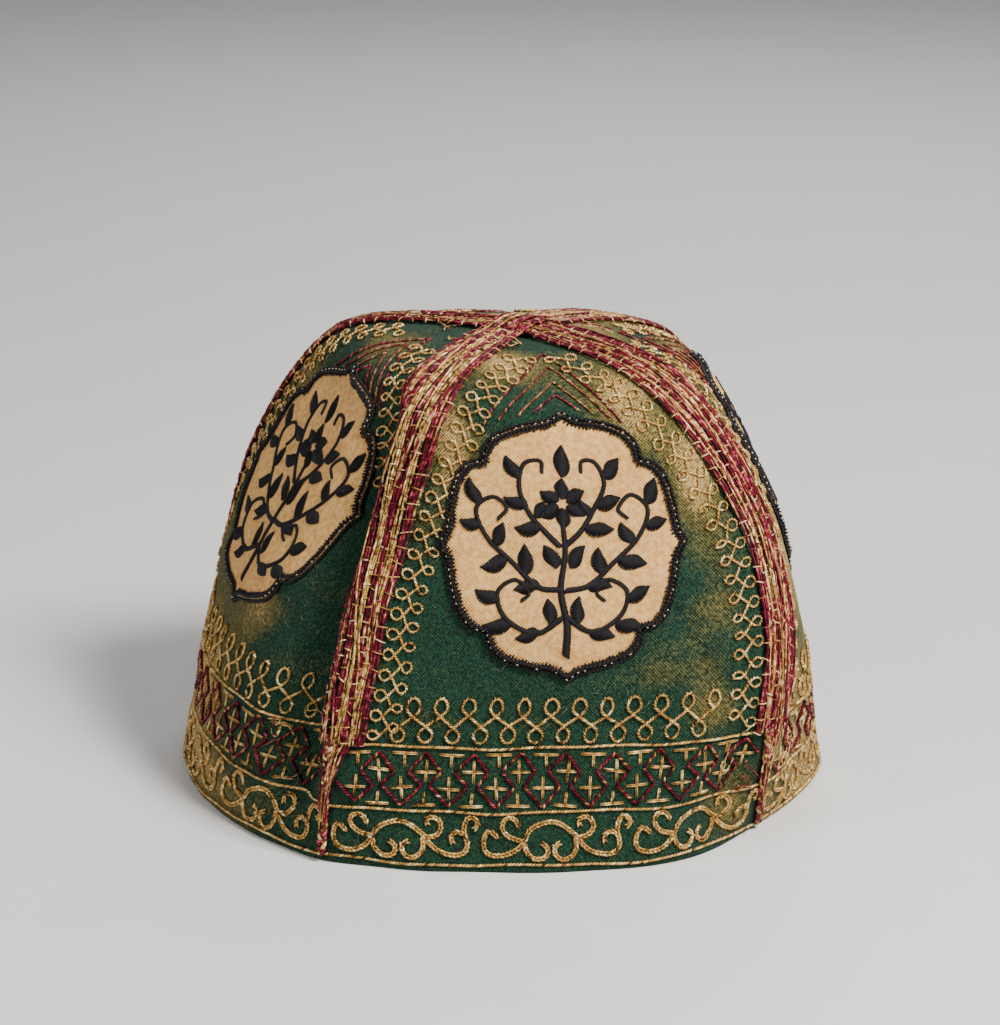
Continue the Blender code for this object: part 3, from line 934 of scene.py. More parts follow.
class Stitches:
    """Stitches gathered for one piece: two ends on the cloth, a width, a height, a lift
    above the cloth, a dye and a tone for each."""

    def __init__(self, seed):
        self.rows = []
        self.draw = np.random.default_rng(seed)

    def put(self, starts, ends, width, height, lift=0.0, dye=0.0, tone_and_glint=0.5):
        """Add stitches from arrays of start and end points, x and y in mm."""
        count = len(starts)
        row = np.empty((count, 9))
        row[:, 0:2] = starts
        row[:, 2:4] = ends
        row[:, 4] = width * self.draw.uniform(*UNEVEN_WIDTH, count)
        row[:, 5] = height * self.draw.uniform(*UNEVEN_HEIGHT, count)
        row[:, 6] = lift
        # Some stitches take gold dye as painted glints.
        worn = self.draw.uniform(size=count) < GOLD_GLINT_SHARE
        row[:, 7] = np.where(worn, min(dye, GOLD_GLINT_DYE), dye)
        # Each stitch's tone differs at random; in the laid thread it also sets painted glints and
        # dark gaps.
        row[:, 8] = np.clip(tone_and_glint + self.draw.normal(0, TONE_SPREAD, count), 0, max(tone_and_glint, 1.0))
        self.rows.append(row)

    def build(self, name, gore, material):
        """Turn the gathered stitches into one piece on the gore."""
        rows = np.concatenate(self.rows)
        start, end = rows[:, 0:2], rows[:, 2:4]
        width, height, lift, dye, tone_and_glint = rows[:, 4:].T
        line = np.stack([start, (start + end) / 2, end], axis=1)
        above = lift[:, None] + height[:, None] * np.array(STITCH_LIFT)
        places, outward = on_cloth(gore, line[..., 0], line[..., 1], above)
        wide = width[:, None] / 2 * np.array(STITCH_RINGS)
        tall = height[:, None] / 2 * np.array(STITCH_RINGS)
        points, faces, thread = sweep(places, outward, wide, tall, STITCH_SIDES)
        each = len(STITCH_RINGS) * STITCH_SIDES
        attributes = {"thread": thread, "dye": np.repeat(dye, each), "tone_and_glint": np.repeat(tone_and_glint, each)}
        return add_piece(name, points, faces, material, attributes)


print("sweep ready, rings:", STITCH_RINGS)


# %% Define the kinds of stitching
# How far a stitch reaches each way as a share of the pitch, then shares of the row's width
TWIST = {"reach": 0.72, "lean": 0.3, "wide": 0.6, "high": 0.85}
CHAIN = {"reach": 0.7, "near": 0.06, "far": 0.36, "wide": 0.42, "high": 0.5}
STRAND = {"overlap": 0.5, "wide": 1.15, "high": 0.8}
STRANDS = 2
SATIN_COVER = 1.55
SATIN_HEIGHT = 0.8
LOOK_AHEAD = 0.3


def smooth_path(points, parts=10):
    """Smooth line through points: each span is the usual cubic through four points."""
    points = np.asarray(points, float)
    padded = np.vstack([2 * points[0] - points[1], points, 2 * points[-1] - points[-2]])
    a, b, c, d = padded[:-3, None], padded[1:-2, None], padded[2:-1, None], padded[3:, None]
    t = np.linspace(0, 1, parts, endpoint=False)[None, :, None]
    spans = 0.5 * (2 * b + (c - a) * t + (2 * a - 5 * b + 4 * c - d) * t**2
                   + (3 * b - a - 3 * c + d) * t**3)
    return np.vstack([spans.reshape(-1, 2), points[-1]])


def walk(path, where):
    """Points and left-hand directions of a path at given lengths along it."""
    along = path_length(path)
    point = np.stack([np.interp(where, along, path[:, axis]) for axis in (0, 1)], axis=-1)
    behind, beyond = (
        np.stack([np.interp(where + step, along, path[:, axis]) for axis in (0, 1)], axis=-1)
        for step in (-LOOK_AHEAD, LOOK_AHEAD))
    ahead = unit(beyond - behind)
    return point, np.stack([-ahead[:, 1], ahead[:, 0]], axis=-1)


def steps_along(path, pitch):
    """Evenly spaced lengths along a path, about one pitch apart."""
    total = path_length(path)[-1]
    count = max(2, int(round(total / pitch)))
    return (np.arange(count) + 0.5) * total / count


def twisted(stitches, path, width, dye=0.0, tone_and_glint=0.5, pitch=0.95, lift=0.0):
    """Twisted cord: stitches longer than their pitch that lean across the path."""
    where = steps_along(path, pitch)
    start, left = walk(path, where - TWIST["reach"] * pitch)
    end = walk(path, where + TWIST["reach"] * pitch)[0]
    lean = left * width * TWIST["lean"]
    stitches.put(start - lean, end + lean, width * TWIST["wide"], width * TWIST["high"],
                 lift, dye, tone_and_glint)


def chained(stitches, path, width, pitch=1.2):
    """Chain stitch: two rows whose stitches start in the middle and lean apart."""
    where = steps_along(path, pitch)
    start, left = walk(path, where - CHAIN["reach"] * pitch)
    end, far_left = walk(path, where + CHAIN["reach"] * pitch)
    for side in (1, -1):
        near = start + left * side * width * CHAIN["near"]
        far = end + far_left * side * width * CHAIN["far"]
        stitches.put(near, far, width * CHAIN["wide"], width * CHAIN["high"])


def satin(stitches, path, half_width, lift, pitch=0.42, slant=0.35):
    """Satin stitch: stitches square across the path, as wide as the shape is there."""
    where = steps_along(path, pitch)
    middle, left = walk(path, where)
    half = half_width(where / path_length(path)[-1])[:, None]
    ahead = np.stack([left[:, 1], -left[:, 0]], axis=-1)
    reach = left * half + ahead * half * slant
    stitches.put(middle - reach, middle + reach, pitch * SATIN_COVER, SATIN_HEIGHT, lift)


def straight(stitches, start, end, width):
    """Straight stitch: parallel strands, each cut in two so that it follows the cloth."""
    start, end = np.array([start]), np.array([end])
    ahead = unit(end - start)
    left = np.stack([-ahead[:, 1], ahead[:, 0]], axis=-1)
    half_way = (start + end) / 2
    overlap = ahead * STRAND["overlap"]
    for strand in range(STRANDS):
        aside = left * width * ((strand + 0.5) / STRANDS - 0.5)
        for first, last in ((start, half_way + overlap), (half_way - overlap, end)):
            stitches.put(first + aside, last + aside, width / STRANDS * STRAND["wide"],
                         width * STRAND["high"])


print("kinds of stitching: twisted, chained, satin, straight")

# %% [markdown]
# ## Border rows
#
# From the hem up, each gore has a gold line, a row of scrolls, a line, a crimson meander
# with gold crosses, a line, and a row of open loops. Every motif is a short list of
# points in shares of its own repeat, which is stretched to a whole number of repeats
# between the seams.

# %% Chart the border motifs
HEM_LINE = 2.3
SECOND_LINE = 17.5
THIRD_LINE = 36.0

# Scrolls: points as shares of the repeat across and of the row's height up
SCROLL_MOTIF = (
    ((0.125, 0.52), (0.065, 0.70), (0.024, 0.42), (0.042, 0.16), (0.137, 0.08),
     (0.232, 0.22), (0.290, 0.43)),
    ((0.262, 0.76), (0.244, 0.95), (0.184, 1.00), (0.150, 0.80), (0.190, 0.56),
     (0.290, 0.44)),
    ((0.290, 0.44), (0.339, 0.72), (0.458, 0.89), (0.541, 0.83), (0.600, 0.65),
     (0.650, 0.48)),
    ((0.293, 0.44), (0.300, 0.20), (0.351, 0.02), (0.422, 0.07), (0.445, 0.27),
     (0.398, 0.40)),
    ((0.628, 0.54), (0.622, 0.20), (0.553, 0.00), (0.493, 0.09), (0.487, 0.32),
     (0.536, 0.40)),
    ((0.648, 0.50), (0.719, 0.56), (0.755, 0.80), (0.710, 1.00), (0.655, 0.93),
     (0.668, 0.76)),
    ((0.648, 0.46), (0.719, 0.20), (0.815, 0.07), (0.890, 0.15), (0.918, 0.38),
     (0.898, 0.63), (0.922, 0.96), (0.968, 1.00), (0.999, 0.82), (0.962, 0.70)),
    ((0.900, 0.58), (0.850, 0.64), (0.812, 0.52), (0.825, 0.34)),
)
SCROLL_FOOT = 3.9
SCROLL_HEIGHT = 12.2
SCROLLS = 3

# Meander: the corners of one repeat as shares across and up
MEANDER_MOTIF = (
    (0.0, 0.40), (0.42, 0.08), (0.82, 0.40), (0.52, 0.63), (0.92, 0.92), (1.25, 0.62),
)
MEANDERS = 9
MEANDER_OVERHANG = 0.25

# Crosses: place in the repeat and half sizes. Brackets: place, bar, end of stem, half width
CROSSES = ((0.42, 0.37, 0.23, 0.18), (0.92, 0.63, 0.23, 0.18))
BRACKETS = ((0.45, 0.895, 0.70, 0.27), (0.90, 0.105, 0.30, 0.25))
BAR_WIDTH = 0.95
STEM_WIDTH = 0.9

# Distances in mm from the seams, and widths in mm of the rows of thread
LINE_MARGIN = 0.6
SCROLL_MARGIN = 1.6
MEANDER_MARGIN = 2.6
WIDTHS = {"line": 1.15, "scroll": 1.8, "meander": 1.3, "row": 1.2, "column": 1.1,
          "chevron": 0.95, "loose": 0.55}

# How unsteady the hand is, in mm: spreads of the points, and for a line the height and
# length of its waves, which start anywhere in a turn
SCROLL_NUDGE = 0.12
MEANDER_NUDGE = 0.22
CROSS_SKEW = 0.3
BRACKET_SKEW = 0.25
LINE_DRIFT = ((0.28, 9.0), (0.16, 3.7))
PHASES = (0, 6.28)


def border_line(draw, name, y):
    """A line across the gore at a height: a sum of two slow waves."""
    left, right = gore_span(name, y)
    x = np.linspace(left + LINE_MARGIN, right - LINE_MARGIN, 60)
    drift = sum(high * np.sin(x / long + draw.uniform(*PHASES)) for high, long in LINE_DRIFT)
    return np.stack([x, y + drift], axis=-1)


def add_scrolls(stitches, name):
    """The row of scrolls in chain stitch, each point nudged a little."""
    left, right = gore_span(name, SCROLL_FOOT + SCROLL_HEIGHT / 2)
    repeat = (right - left - 2 * SCROLL_MARGIN) / SCROLLS
    for number in range(SCROLLS):
        for motif in SCROLL_MOTIF:
            points = np.array(motif)
            nudge = stitches.draw.normal(0, SCROLL_NUDGE, points.shape)
            points[:, 0] = left + SCROLL_MARGIN + (number + points[:, 0]) * repeat
            points[:, 1] = SCROLL_FOOT + points[:, 1] * SCROLL_HEIGHT
            chained(stitches, smooth_path(points + nudge), WIDTHS["scroll"])


def add_meander(stitches, name):
    """The crimson meander, and the gold crosses and brackets in its bays."""
    foot = SECOND_LINE
    tall = THIRD_LINE - SECOND_LINE
    left, right = gore_span(name, foot + tall / 2)
    repeat = (right - left - 2 * MEANDER_MARGIN) / (MEANDERS + MEANDER_OVERHANG)
    start = left + MEANDER_MARGIN
    corner = [(number + x, y) for number in range(MEANDERS) for x, y in MEANDER_MOTIF]
    corner = np.array(corner) * (repeat, tall) + (start, foot)
    corner += stitches.draw.normal(0, MEANDER_NUDGE, corner.shape)
    for first, second in zip(corner[:-1], corner[1:]):
        twisted(stitches, np.linspace(first, second, 8), WIDTHS["meander"], 1.0, 0.35)
    for number in range(MEANDERS):
        for x, y, half_x, half_y in CROSSES:
            add_cross(stitches, (number + x) * repeat + start, foot + y * tall,
                      half_x * repeat, half_y * tall)
        # The last repeat has no room for its second bracket
        for x, bar, stem, wide in BRACKETS[:1] if number == MEANDERS - 1 else BRACKETS:
            add_bracket(stitches, (number + x) * repeat + start, foot + bar * tall,
                        foot + stem * tall, wide * repeat)


def add_cross(stitches, x, y, half_x, half_y):
    """A gold cross of two straight stitches, slightly askew."""
    skew = stitches.draw.normal(0, CROSS_SKEW, 4)
    straight(stitches, (x - half_x, y + skew[0]), (x + half_x, y + skew[1]), BAR_WIDTH)
    straight(stitches, (x + skew[2], y - half_y), (x + skew[3], y + half_y), STEM_WIDTH)


def add_bracket(stitches, x, bar, stem, half_x):
    """A gold bar with a short stem at its middle."""
    skew = stitches.draw.normal(0, BRACKET_SKEW, 3)
    straight(stitches, (x - half_x, bar + skew[0]), (x + half_x, bar + skew[1]), BAR_WIDTH)
    straight(stitches, (x, bar), (x + skew[2], stem), STEM_WIDTH)


print("border rows charted")


# %% Chart where the bands lie
BAND_HALF = 7.3
BAND_EDGE_GAP = 0.1

# How wide each band is and how far in mm it strays from its seam, by level
SPREAD_TABLE = {
    "front_left": ((0.19, 0.95), (0.32, 1.0), (0.45, 1.06), (0.52, 1.15), (0.60, 1.38),
                   (0.70, 1.48), (0.80, 1.32), (0.925, 1.05)),
    "front_right": ((0.19, 0.92), (0.40, 0.98), (0.52, 1.06), (0.62, 1.2), (0.72, 1.3),
                    (0.82, 1.2), (0.925, 1.05)),
    "back_right": ((0.19, 0.90), (0.50, 1.0), (0.72, 1.2), (0.925, 1.05)),
    "back_left": ((0.19, 0.92), (0.50, 1.0), (0.70, 0.95), (0.82, 0.78), (0.925, 0.85)),
}
STRAY_TABLE = {
    "front_left": ((0.19, 2.8), (0.32, 3.2), (0.42, 2.0), (0.50, 1.4), (0.60, 0.3),
                   (0.72, 0.3), (0.925, 0.0)),
    "front_right": ((0.19, 2.0), (0.28, 3.8), (0.36, 4.8), (0.52, 4.0), (0.62, 1.8),
                    (0.72, 0.6), (0.925, 0.0)),
    "back_right": ((0.19, 0.0), (0.60, 1.0), (0.925, 0.0)),
    "back_left": ((0.19, 0.6), (0.50, -1.2), (0.70, -3.0), (0.84, -1.6), (0.925, 0.0)),
}


def band_spread(seam, level):
    """Width of a band as a share of its usual width."""
    return np.interp(level, *zip(*SPREAD_TABLE[seam]))


def band_stray(seam, level):
    """How far a band strays from its seam, negative over the gore that ends there."""
    return np.interp(level, *zip(*STRAY_TABLE[seam]))


def band_edge(name, end, y):
    """How far the band reaches over a gore's end, at heights up the gore."""
    seam = GORE_TABLE[name]["seams"][end]
    level = np.interp(y, CHARTS[name]["up"], ROW_NUMBERS) * LAST_LEVEL / (ROWS - 1)
    stray = band_stray(seam, level) * (1 if end == 0 else -1)
    return BAND_HALF * band_spread(seam, level) + stray + BAND_EDGE_GAP


print("band edge on the front gore:", band_edge("front", 0, np.array([50.0, 120.0])).round(1))


# %% Chart the loops
# A loop's outline as shares of its half width and of its height
DROP = ((0, 1), (1, 0.6), (0.62, 0.12), (0, 0), (-0.62, 0.12), (-1, 0.6), (0, 1))
UNEVEN_DROP = (0.92, 1.08)

# Loops of the row and of the columns: pitch, depth, then width and height of the loops at
# the near edge and at the far one
ROW_LOOPS = (7.9, 13.0, (3.9, 4.7), (3.6, 5.3))
COLUMN_LOOPS = (5.8, 8.8, (3.1, 3.5), (2.9, 3.3))
ROW_MARGINS = (16.6, 15.6)
ROW_FOOT = THIRD_LINE + 1.3
ROW_MIDDLE = THIRD_LINE + 8.0
COLUMN_LOW = 38.5
COLUMN_HIGH = 164.0

# The left gore's tuck beside the front-left band holds no loops lower down
TUCK = ("left", 1)
TUCK_LOW = 86.0


def loop_line(draw, length, pitch, depth, near, far):
    """One line that loops at both edges: for each repeat a drop-shaped loop stands on the
    near edge, and another hangs from the far one half a repeat on."""
    count = max(1, int(round(length / pitch)))
    pitch = length / count
    points = []
    for number in range(count):
        for place, (wide, tall), edge, way in ((0.25, near, 0.0, 1), (0.75, far, depth, -1)):
            middle = (number + place) * pitch
            wide *= draw.uniform(*UNEVEN_WIDTH) / 2
            tall *= draw.uniform(*UNEVEN_DROP)
            points += [(middle + x * wide, edge + way * y * tall) for x, y in DROP]
    return smooth_path(points, 7)


def beside(path, line, side):
    """A line charted as length and distance, laid along a path on its left or right."""
    point, left = walk(path, line[:, 0])
    return point + left * (line[:, 1] * side)[:, None]


def seam_side_path(name, end, low, high):
    """The line that runs beside the band of a seam, between two heights."""
    y = np.linspace(low, high, 90)
    inset = band_edge(name, end, y)[:, None]
    left, right = gore_span(name, y)
    path = np.stack([left if end == 0 else right, y], axis=-1)
    point, normal = walk(path, path_length(path))
    return point + normal * (inset * (-1 if end == 0 else 1))


def add_loops(stitches, name):
    """The row of loops over the border, and a column of loops inside each seam band."""
    left, right = gore_span(name, ROW_MIDDLE)
    base = np.array([(left + ROW_MARGINS[0], ROW_FOOT), (right - ROW_MARGINS[1], ROW_FOOT)])
    line = loop_line(stitches.draw, path_length(base)[-1], *ROW_LOOPS)
    twisted(stitches, beside(base, line, 1), WIDTHS["row"], pitch=1.0)
    for end in (0, 1):
        low = TUCK_LOW if (name, end) == TUCK else COLUMN_LOW
        path = seam_side_path(name, end, low, COLUMN_HIGH)
        line = loop_line(stitches.draw, path_length(path)[-1], *COLUMN_LOOPS)
        column = beside(path, line, -1 if end == 0 else 1)
        twisted(stitches, column, WIDTHS["column"], tone_and_glint=0.55)


# Chevrons over the medallion, outermost first: heights of apex and feet, how far the feet
# are to the left and right of the apex, and the share of crimson
CHEVRONS = (
    (157.3, 127.5, -21.8, 17.3, 1.0), (150.1, 128.9, -17.3, 14.1, 0.9),
    (143.5, 130.3, -11.7, 10.0, 0.7), (138.0, 131.7, -7.1, 6.0, 1.0),
)

# Where the chevrons' axis is on each gore, and how much higher they are than on the front
CHEVRON_PLACES = {"front": (1.5, 0.0), "right": (3.5, 0.5), "back": (3.5, 0.0), "left": (3.5, 2.5)}


def add_chevrons(stitches, name):
    """Four nested crimson chevrons between the medallion and the crown, with gold glints painted as
    gold in the dye.
    """
    middle, rise = CHEVRON_PLACES[name]
    for apex, foot, left, right, dye in CHEVRONS:
        for aside in (left, right):
            leg = np.linspace((middle + aside, foot + rise), (middle, apex + rise), 14)
            twisted(stitches, leg, WIDTHS["chevron"], dye)


# Loose ends: gore, how many, middle across and up in mm, and how far they spread
LOOSE_ENDS = (
    ("front", 7, 55, 30, 7, 9), ("right", 8, -56, 28, 6, 10), ("left", 4, 44, 30, 6, 8),
    ("front", 3, -4, 163, 9, 3), ("left", 3, 0, 162, 8, 3), ("right", 3, 0, 160, 8, 3),
    ("back", 3, 30, 40, 12, 12),
)
LOOSE_STEPS = 5
LOOSE_STEP = 2.4
LOOSE_DRIFT = 1.6
LOWEST_END = 2.0


def add_loose_ends(stitches, name):
    """Thin threads that have come off, each a smooth path through points drawn at random."""
    draw = stitches.draw
    for gore, count, x, y, spread_x, spread_y in LOOSE_ENDS:
        for number in range(count if gore == name else 0):
            start = np.array((x, y)) + draw.normal(0, 0.5, 2) * (spread_x, spread_y)
            steps = draw.normal(0, LOOSE_STEP, (LOOSE_STEPS, 2)) + draw.normal(0, LOOSE_DRIFT, 2)
            points = start + np.cumsum(steps, axis=0)
            points[:, 1] = np.maximum(points[:, 1], LOWEST_END)
            twisted(stitches, smooth_path(points), WIDTHS["loose"], float(number % 3 == 0),
                    tone_and_glint=0.6, pitch=0.9, lift=0.6)


print("loops, chevrons and loose ends charted")

# %% [markdown]
# The rows of one gore are gathered and become one piece, in couched gold and crimson.

# %% Embroider the four gores
def embroider(name, seed):
    """All the couched gold and crimson rows of one gore as one piece."""
    stitches = Stitches(seed)
    for y in (HEM_LINE, SECOND_LINE, THIRD_LINE):
        twisted(stitches, border_line(stitches.draw, name, y), WIDTHS["line"], tone_and_glint=0.55)
    add_scrolls(stitches, name)
    add_meander(stitches, name)
    add_loops(stitches, name)
    add_chevrons(stitches, name)
    add_loose_ends(stitches, name)
    piece = stitches.build("embroidery_" + name, name, LAID_THREAD)
    return piece


for order, name in enumerate(GORE_TABLE):
    embroider(name, 70 + order)

# %% [markdown]
# ## Seam bands
#
# Over each seam lies a band of two dozen long threads: gold strips between crimson ones,
# tied down every few millimetres by couching stitches of the other dye. The bands don't
# end at the crown. Each one runs on over it into the band on the far side, so the cap has
# two long bands that cross, every other strip of one over the other. A thread here is one
# tube from border to border, with a smooth cubic bridge over the crown.

# %% Work out the lines of a band
BORDER_LEVEL = 0.19
BRIDGE_LEVEL = 0.925
BAND_LIFT = 0.75
COUCH_PITCH = 4.4
BAND_RINGS = 330
BRIDGE_RINGS = 40

BAND_PAIRS = (("front_left", "back_right"), ("front_right", "back_left"))


def even_rows(values, along, count):
    """Rows of a table read again at equal steps of length."""
    wanted = np.linspace(0, along[-1], count)
    return np.stack([np.interp(wanted, along, column) for column in values.T], axis=-1)


def band_line(pair, offset, lift, rise):
    """One line of a band: up beside the first seam, over the crown, down the second. Gives
    places, outward and side directions, the spread and the length at each ring."""
    first, second = pair
    level = np.linspace(BORDER_LEVEL, BRIDGE_LEVEL, 200)
    high = np.full_like(level, lift)
    spread = band_spread(first, level)
    up, up_out = over_seam(first, offset * spread + band_stray(first, level), level, high)
    level = level[::-1]
    far_spread = band_spread(second, level)
    down, down_out = over_seam(second, -offset * far_spread + band_stray(second, level), level,
                               high)
    span = np.linalg.norm(down[0] - up[-1])
    leave = unit(up[-1] - up[-4]) * span
    arrive = unit(down[3] - down[0]) * span
    t = np.linspace(0, 1, BRIDGE_RINGS)[1:-1, None]
    bridge = (up[-1] * (1 + 2 * t) * (1 - t) ** 2 + down[0] * t * t * (3 - 2 * t)
              + leave * t * (1 - t) ** 2 - arrive * t * t * (1 - t))
    bridge[:, 2] += rise * np.sin(math.pi * t[:, 0]) ** 2
    bridge_out = unit(up_out[-1] * (1 - t) + down_out[0] * t)
    place = np.concatenate([up, bridge, down])
    outward = np.concatenate([up_out, bridge_out, down_out])
    along = path_length(place)
    between = spread[-1] + (far_spread[0] - spread[-1]) * t[:, 0]
    spreads = np.concatenate([spread, between, far_spread])[:, None]
    even = even_rows(np.concatenate([place, outward, spreads], axis=1), along, BAND_RINGS)
    line, outward = even[:, :3], unit(even[:, 3:6])
    side = unit(np.cross(unit(np.gradient(line, axis=0)), outward))
    return line, outward, side, even[:, 6], np.linspace(0, along[-1], BAND_RINGS)


print("band lines worked out for", BAND_PAIRS)

# %% [markdown]
# Threads of a strip are crowded where a couching stitch holds them, and swell between.
# No two are alike: each sways on its own, is a little thicker or thinner from ring to
# ring, and shows its core in worn stretches. A few loose ones wander over the strips.

# %% Lay the seam bands
# Strips across a band: middle, half width in mm, threads, share of crimson, couching start
STRIPS = (
    (-6.40, 0.90, 3, 0.9, 0.0), (-4.50, 1.05, 4, 0.15, 0.5), (-2.45, 0.95, 3, 0.85, 0.0),
    (-0.45, 1.05, 4, 0.30, 0.5), (1.55, 0.95, 3, 0.85, 0.0), (3.55, 1.05, 4, 0.15, 0.5),
    (5.95, 1.25, 4, 1.0, 0.0),
)
THREAD_RADIUS = 0.31
THREAD_SIDES = 4

# Waves in mm in which a thread sways: how far and how long
SWAYS = ((0.13, 3.7), (0.26, 12.0))

# Loose threads: how many, how high, and how they wander over the band
LOOSE_THREADS = 4
LOOSE_LIFT = 0.95
LOOSE_OFFSETS = (-5, 5)
LOOSE_SWAY = 2.2
LOOSE_WAVES = (11, 21)

# Unevenness of a thread's thickness, its limits, how much thicker crimson is, and the
# share of the thickness that goes with the band's spread
THREAD_UNEVEN = 0.2
THREAD_LIMITS = (0.65, 1.5)
CRIMSON_THICKER = 0.18
SPREAD_SHARE = 0.45

# How much narrower a strip is where it is held, and in mm how high its threads are there,
# how much they swell between, how much the middle ones are above the outer ones, and the
# spread drawn at every ring
HELD_NARROWER = 0.16
HELD_LIFT = 0.08
SWELL = 0.34
STRIP_ROUND = 0.34
RING_SPREAD = 0.06

# How far the even and the odd strips of a long band rise over the crown, by its first seam
CROWN_RISE = {"front_left": (1.9, 0.3), "front_right": (1.0, 1.0)}

# Wear comes and goes in two waves multiplied: above a limit it takes some dye away. The
# tone swings with it round a middle, and more is drawn at every ring; the tone places
# the thread's painted glints and dark gaps
WEAR_WAVES = (5.3, 13.0)
WEAR_LIMIT = 0.72
WEAR_LOSS = 0.6
TONE_MIDDLE = 0.44
TONE_SWING = 0.25
TONE_DRAWN = 0.3

# Couching stitches: thickness and rings, foot and height of the arch, overhang, and share
# of dark ones on the strips that start with one and on the others
TIE_RADIUS = 0.2
TIE_RINGS = 5
TIE_FOOT = 0.12
TIE_HEIGHT = 0.82
TIE_OVERHANG = 0.45
TIE_DARK = (0.15, 0.6)


def thread_colours(draw, length, crimson):
    """Dye and tone along one thread: worn stretches lose the dye, and the tone, which places
    painted glints and dark gaps, is drawn anew at every ring."""
    phase = draw.uniform(*PHASES, 2)
    worn = np.prod(np.sin(length / np.array(WEAR_WAVES)[:, None] + phase[:, None]), axis=0)
    dye = np.clip(crimson - np.where(worn > WEAR_LIMIT, WEAR_LOSS, 0.0), 0, 1)
    tone_and_glint = TONE_MIDDLE + TONE_SWING * worn + draw.normal(0, TONE_DRAWN, len(length))
    return dye, np.clip(tone_and_glint, 0, 1)


def lay_band(pair, seed):
    """All threads and couching stitches of one long band, as one piece."""
    draw = np.random.default_rng(seed)
    places, outs, thick, dyes, tones, ties = [], [], [], [], [], []

    def keep(place, outward, spread, length, crimson):
        dye, tone_and_glint = thread_colours(draw, length, crimson)
        places.append(place)
        outs.append(outward)
        uneven = draw.normal(1 + CRIMSON_THICKER * crimson, THREAD_UNEVEN, len(length))
        wider = 1 - SPREAD_SHARE + SPREAD_SHARE * spread
        thick.append(THREAD_RADIUS * np.clip(uneven, *THREAD_LIMITS) * wider)
        dyes.append(dye)
        tones.append(tone_and_glint)

    for order, (middle, half, count, crimson, phase) in enumerate(STRIPS):
        rise = CROWN_RISE[pair[0]][order % 2]
        line, outward, side, spread, length = band_line(pair, middle, BAND_LIFT, rise)
        held = np.abs(np.sin(math.pi * (length / COUCH_PITCH + phase)))
        for number in range(count):
            share = 2 * (number + 0.5) / count - 1
            sway = sum(far * np.sin(length / long + draw.uniform(*PHASES)) for far, long in SWAYS)
            aside = share * half * spread * (1 - HELD_NARROWER * (1 - held)) + sway
            swell = (HELD_LIFT + SWELL * np.sqrt(held) + STRIP_ROUND * (1 - share**2)
                     + draw.normal(0, RING_SPREAD, BAND_RINGS))
            keep(line + side * aside[:, None] + outward * swell[:, None], outward, spread,
                 length, float(draw.uniform() < crimson))
        ties.append(couching(line, outward, side, spread, length, phase, half, draw))
    for number in range(LOOSE_THREADS):
        line, outward, side, spread, length = band_line(
            pair, draw.uniform(*LOOSE_OFFSETS), BAND_LIFT + LOOSE_LIFT, CROWN_RISE[pair[0]][0])
        aside = LOOSE_SWAY * np.sin(length / draw.uniform(*LOOSE_WAVES) + draw.uniform(*PHASES))
        keep(line + side * aside[:, None], outward, spread, length, float(number % 2))
    radius = np.stack(thick)
    threads = sweep(np.stack(places), np.stack(outs), radius, radius, THREAD_SIDES)
    tie_places, tie_out, tie_dye = (np.concatenate(part) for part in zip(*ties))
    thin = np.full(tie_places.shape[:2], TIE_RADIUS)
    knots = sweep(tie_places, tie_out, thin, thin, THREAD_SIDES)
    tie_tone = draw.uniform(0.2, 1.0, len(tie_places))
    dye, tone_and_glint = (
        np.repeat(np.concatenate([*rings, np.repeat(tied, TIE_RINGS)]), THREAD_SIDES)
        for rings, tied in ((dyes, tie_dye), (tones, tie_tone)))
    points, faces, thread = joined([threads, knots])
    piece = add_piece("laid_band_" + pair[0], points, faces, LAID_THREAD,
                      {"thread": thread, "dye": dye, "tone_and_glint": tone_and_glint})
    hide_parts("seam_band_" + pair[0], "seam_band_" + pair[1])
    return piece


def couching(line, outward, side, spread, length, phase, half, draw):
    """Couching stitches: short arches over a strip wherever its threads are held."""
    where = np.arange((1 - phase) % 1.0, length[-1] / COUCH_PITCH) * COUCH_PITCH
    where = np.clip(where + draw.normal(0, 0.4, len(where)), 0, length[-1])
    table = np.concatenate([line, outward, side, spread[:, None]], axis=1)
    held = np.stack([np.interp(where, length, column) for column in table.T], axis=-1)
    reach = np.linspace(-1, 1, TIE_RINGS)
    arch = TIE_FOOT + TIE_HEIGHT * np.sqrt(np.clip(1 - reach**2, 0, 1))
    width = half * held[:, 9] + TIE_OVERHANG
    lean = unit(np.cross(held[:, 3:6], held[:, 6:9])) * draw.normal(0, 0.4, len(where))[:, None]
    places = (held[:, None, 0:3] + held[:, None, 6:9] * (reach * width[:, None])[..., None]
              + held[:, None, 3:6] * arch[None, :, None]
              + lean[:, None] * reach[None, :, None])
    dark = draw.uniform(size=len(where)) < TIE_DARK[int(phase > 0)]
    return places, np.repeat(held[:, None, 3:6], TIE_RINGS, axis=1), dark.astype(float)


for order, pair in enumerate(BAND_PAIRS):
    lay_band(pair, 90 + order)

# %% [markdown]
# ## Seam braids
#
# Beside the border the seam is covered by a narrow plait of three cords, two crimson and
# one gold, down to the hem. A plait's strands swing from side to side a third of a turn
# apart and go over and under at twice that rate. Some threads of the band run on down and
# are gathered into the plait.

# %% Plait the seam braids
BRAID_HALF = 0.85
BRAID_PITCH = 5.4
BRAID_THICK = 0.58
BRAID_LIFT = 1.05
BRAID_LOW = 0.012
BRAID_TOP = BORDER_LEVEL + 0.012
BRAID_RINGS = 90
BRAID_DYES = (1.0, 0.95, 0.15, 1.0)
BRAID_SIDES = 8
OVER_AND_UNDER = 0.42
KNOT_LENGTH = 1.6
FILLING_LIFT = 0.35
GATHERED = 16
GATHERED_RINGS = 30
GATHERED_RADIUS = 0.24
GATHERED_LIFT = 1.9
GATHERED_LENGTH = 25.0
GATHERED_LOW = (0.045, 0.14)
GATHERED_TOP = (-5.5, 5.5)
GATHERED_CRIMSON = 0.6


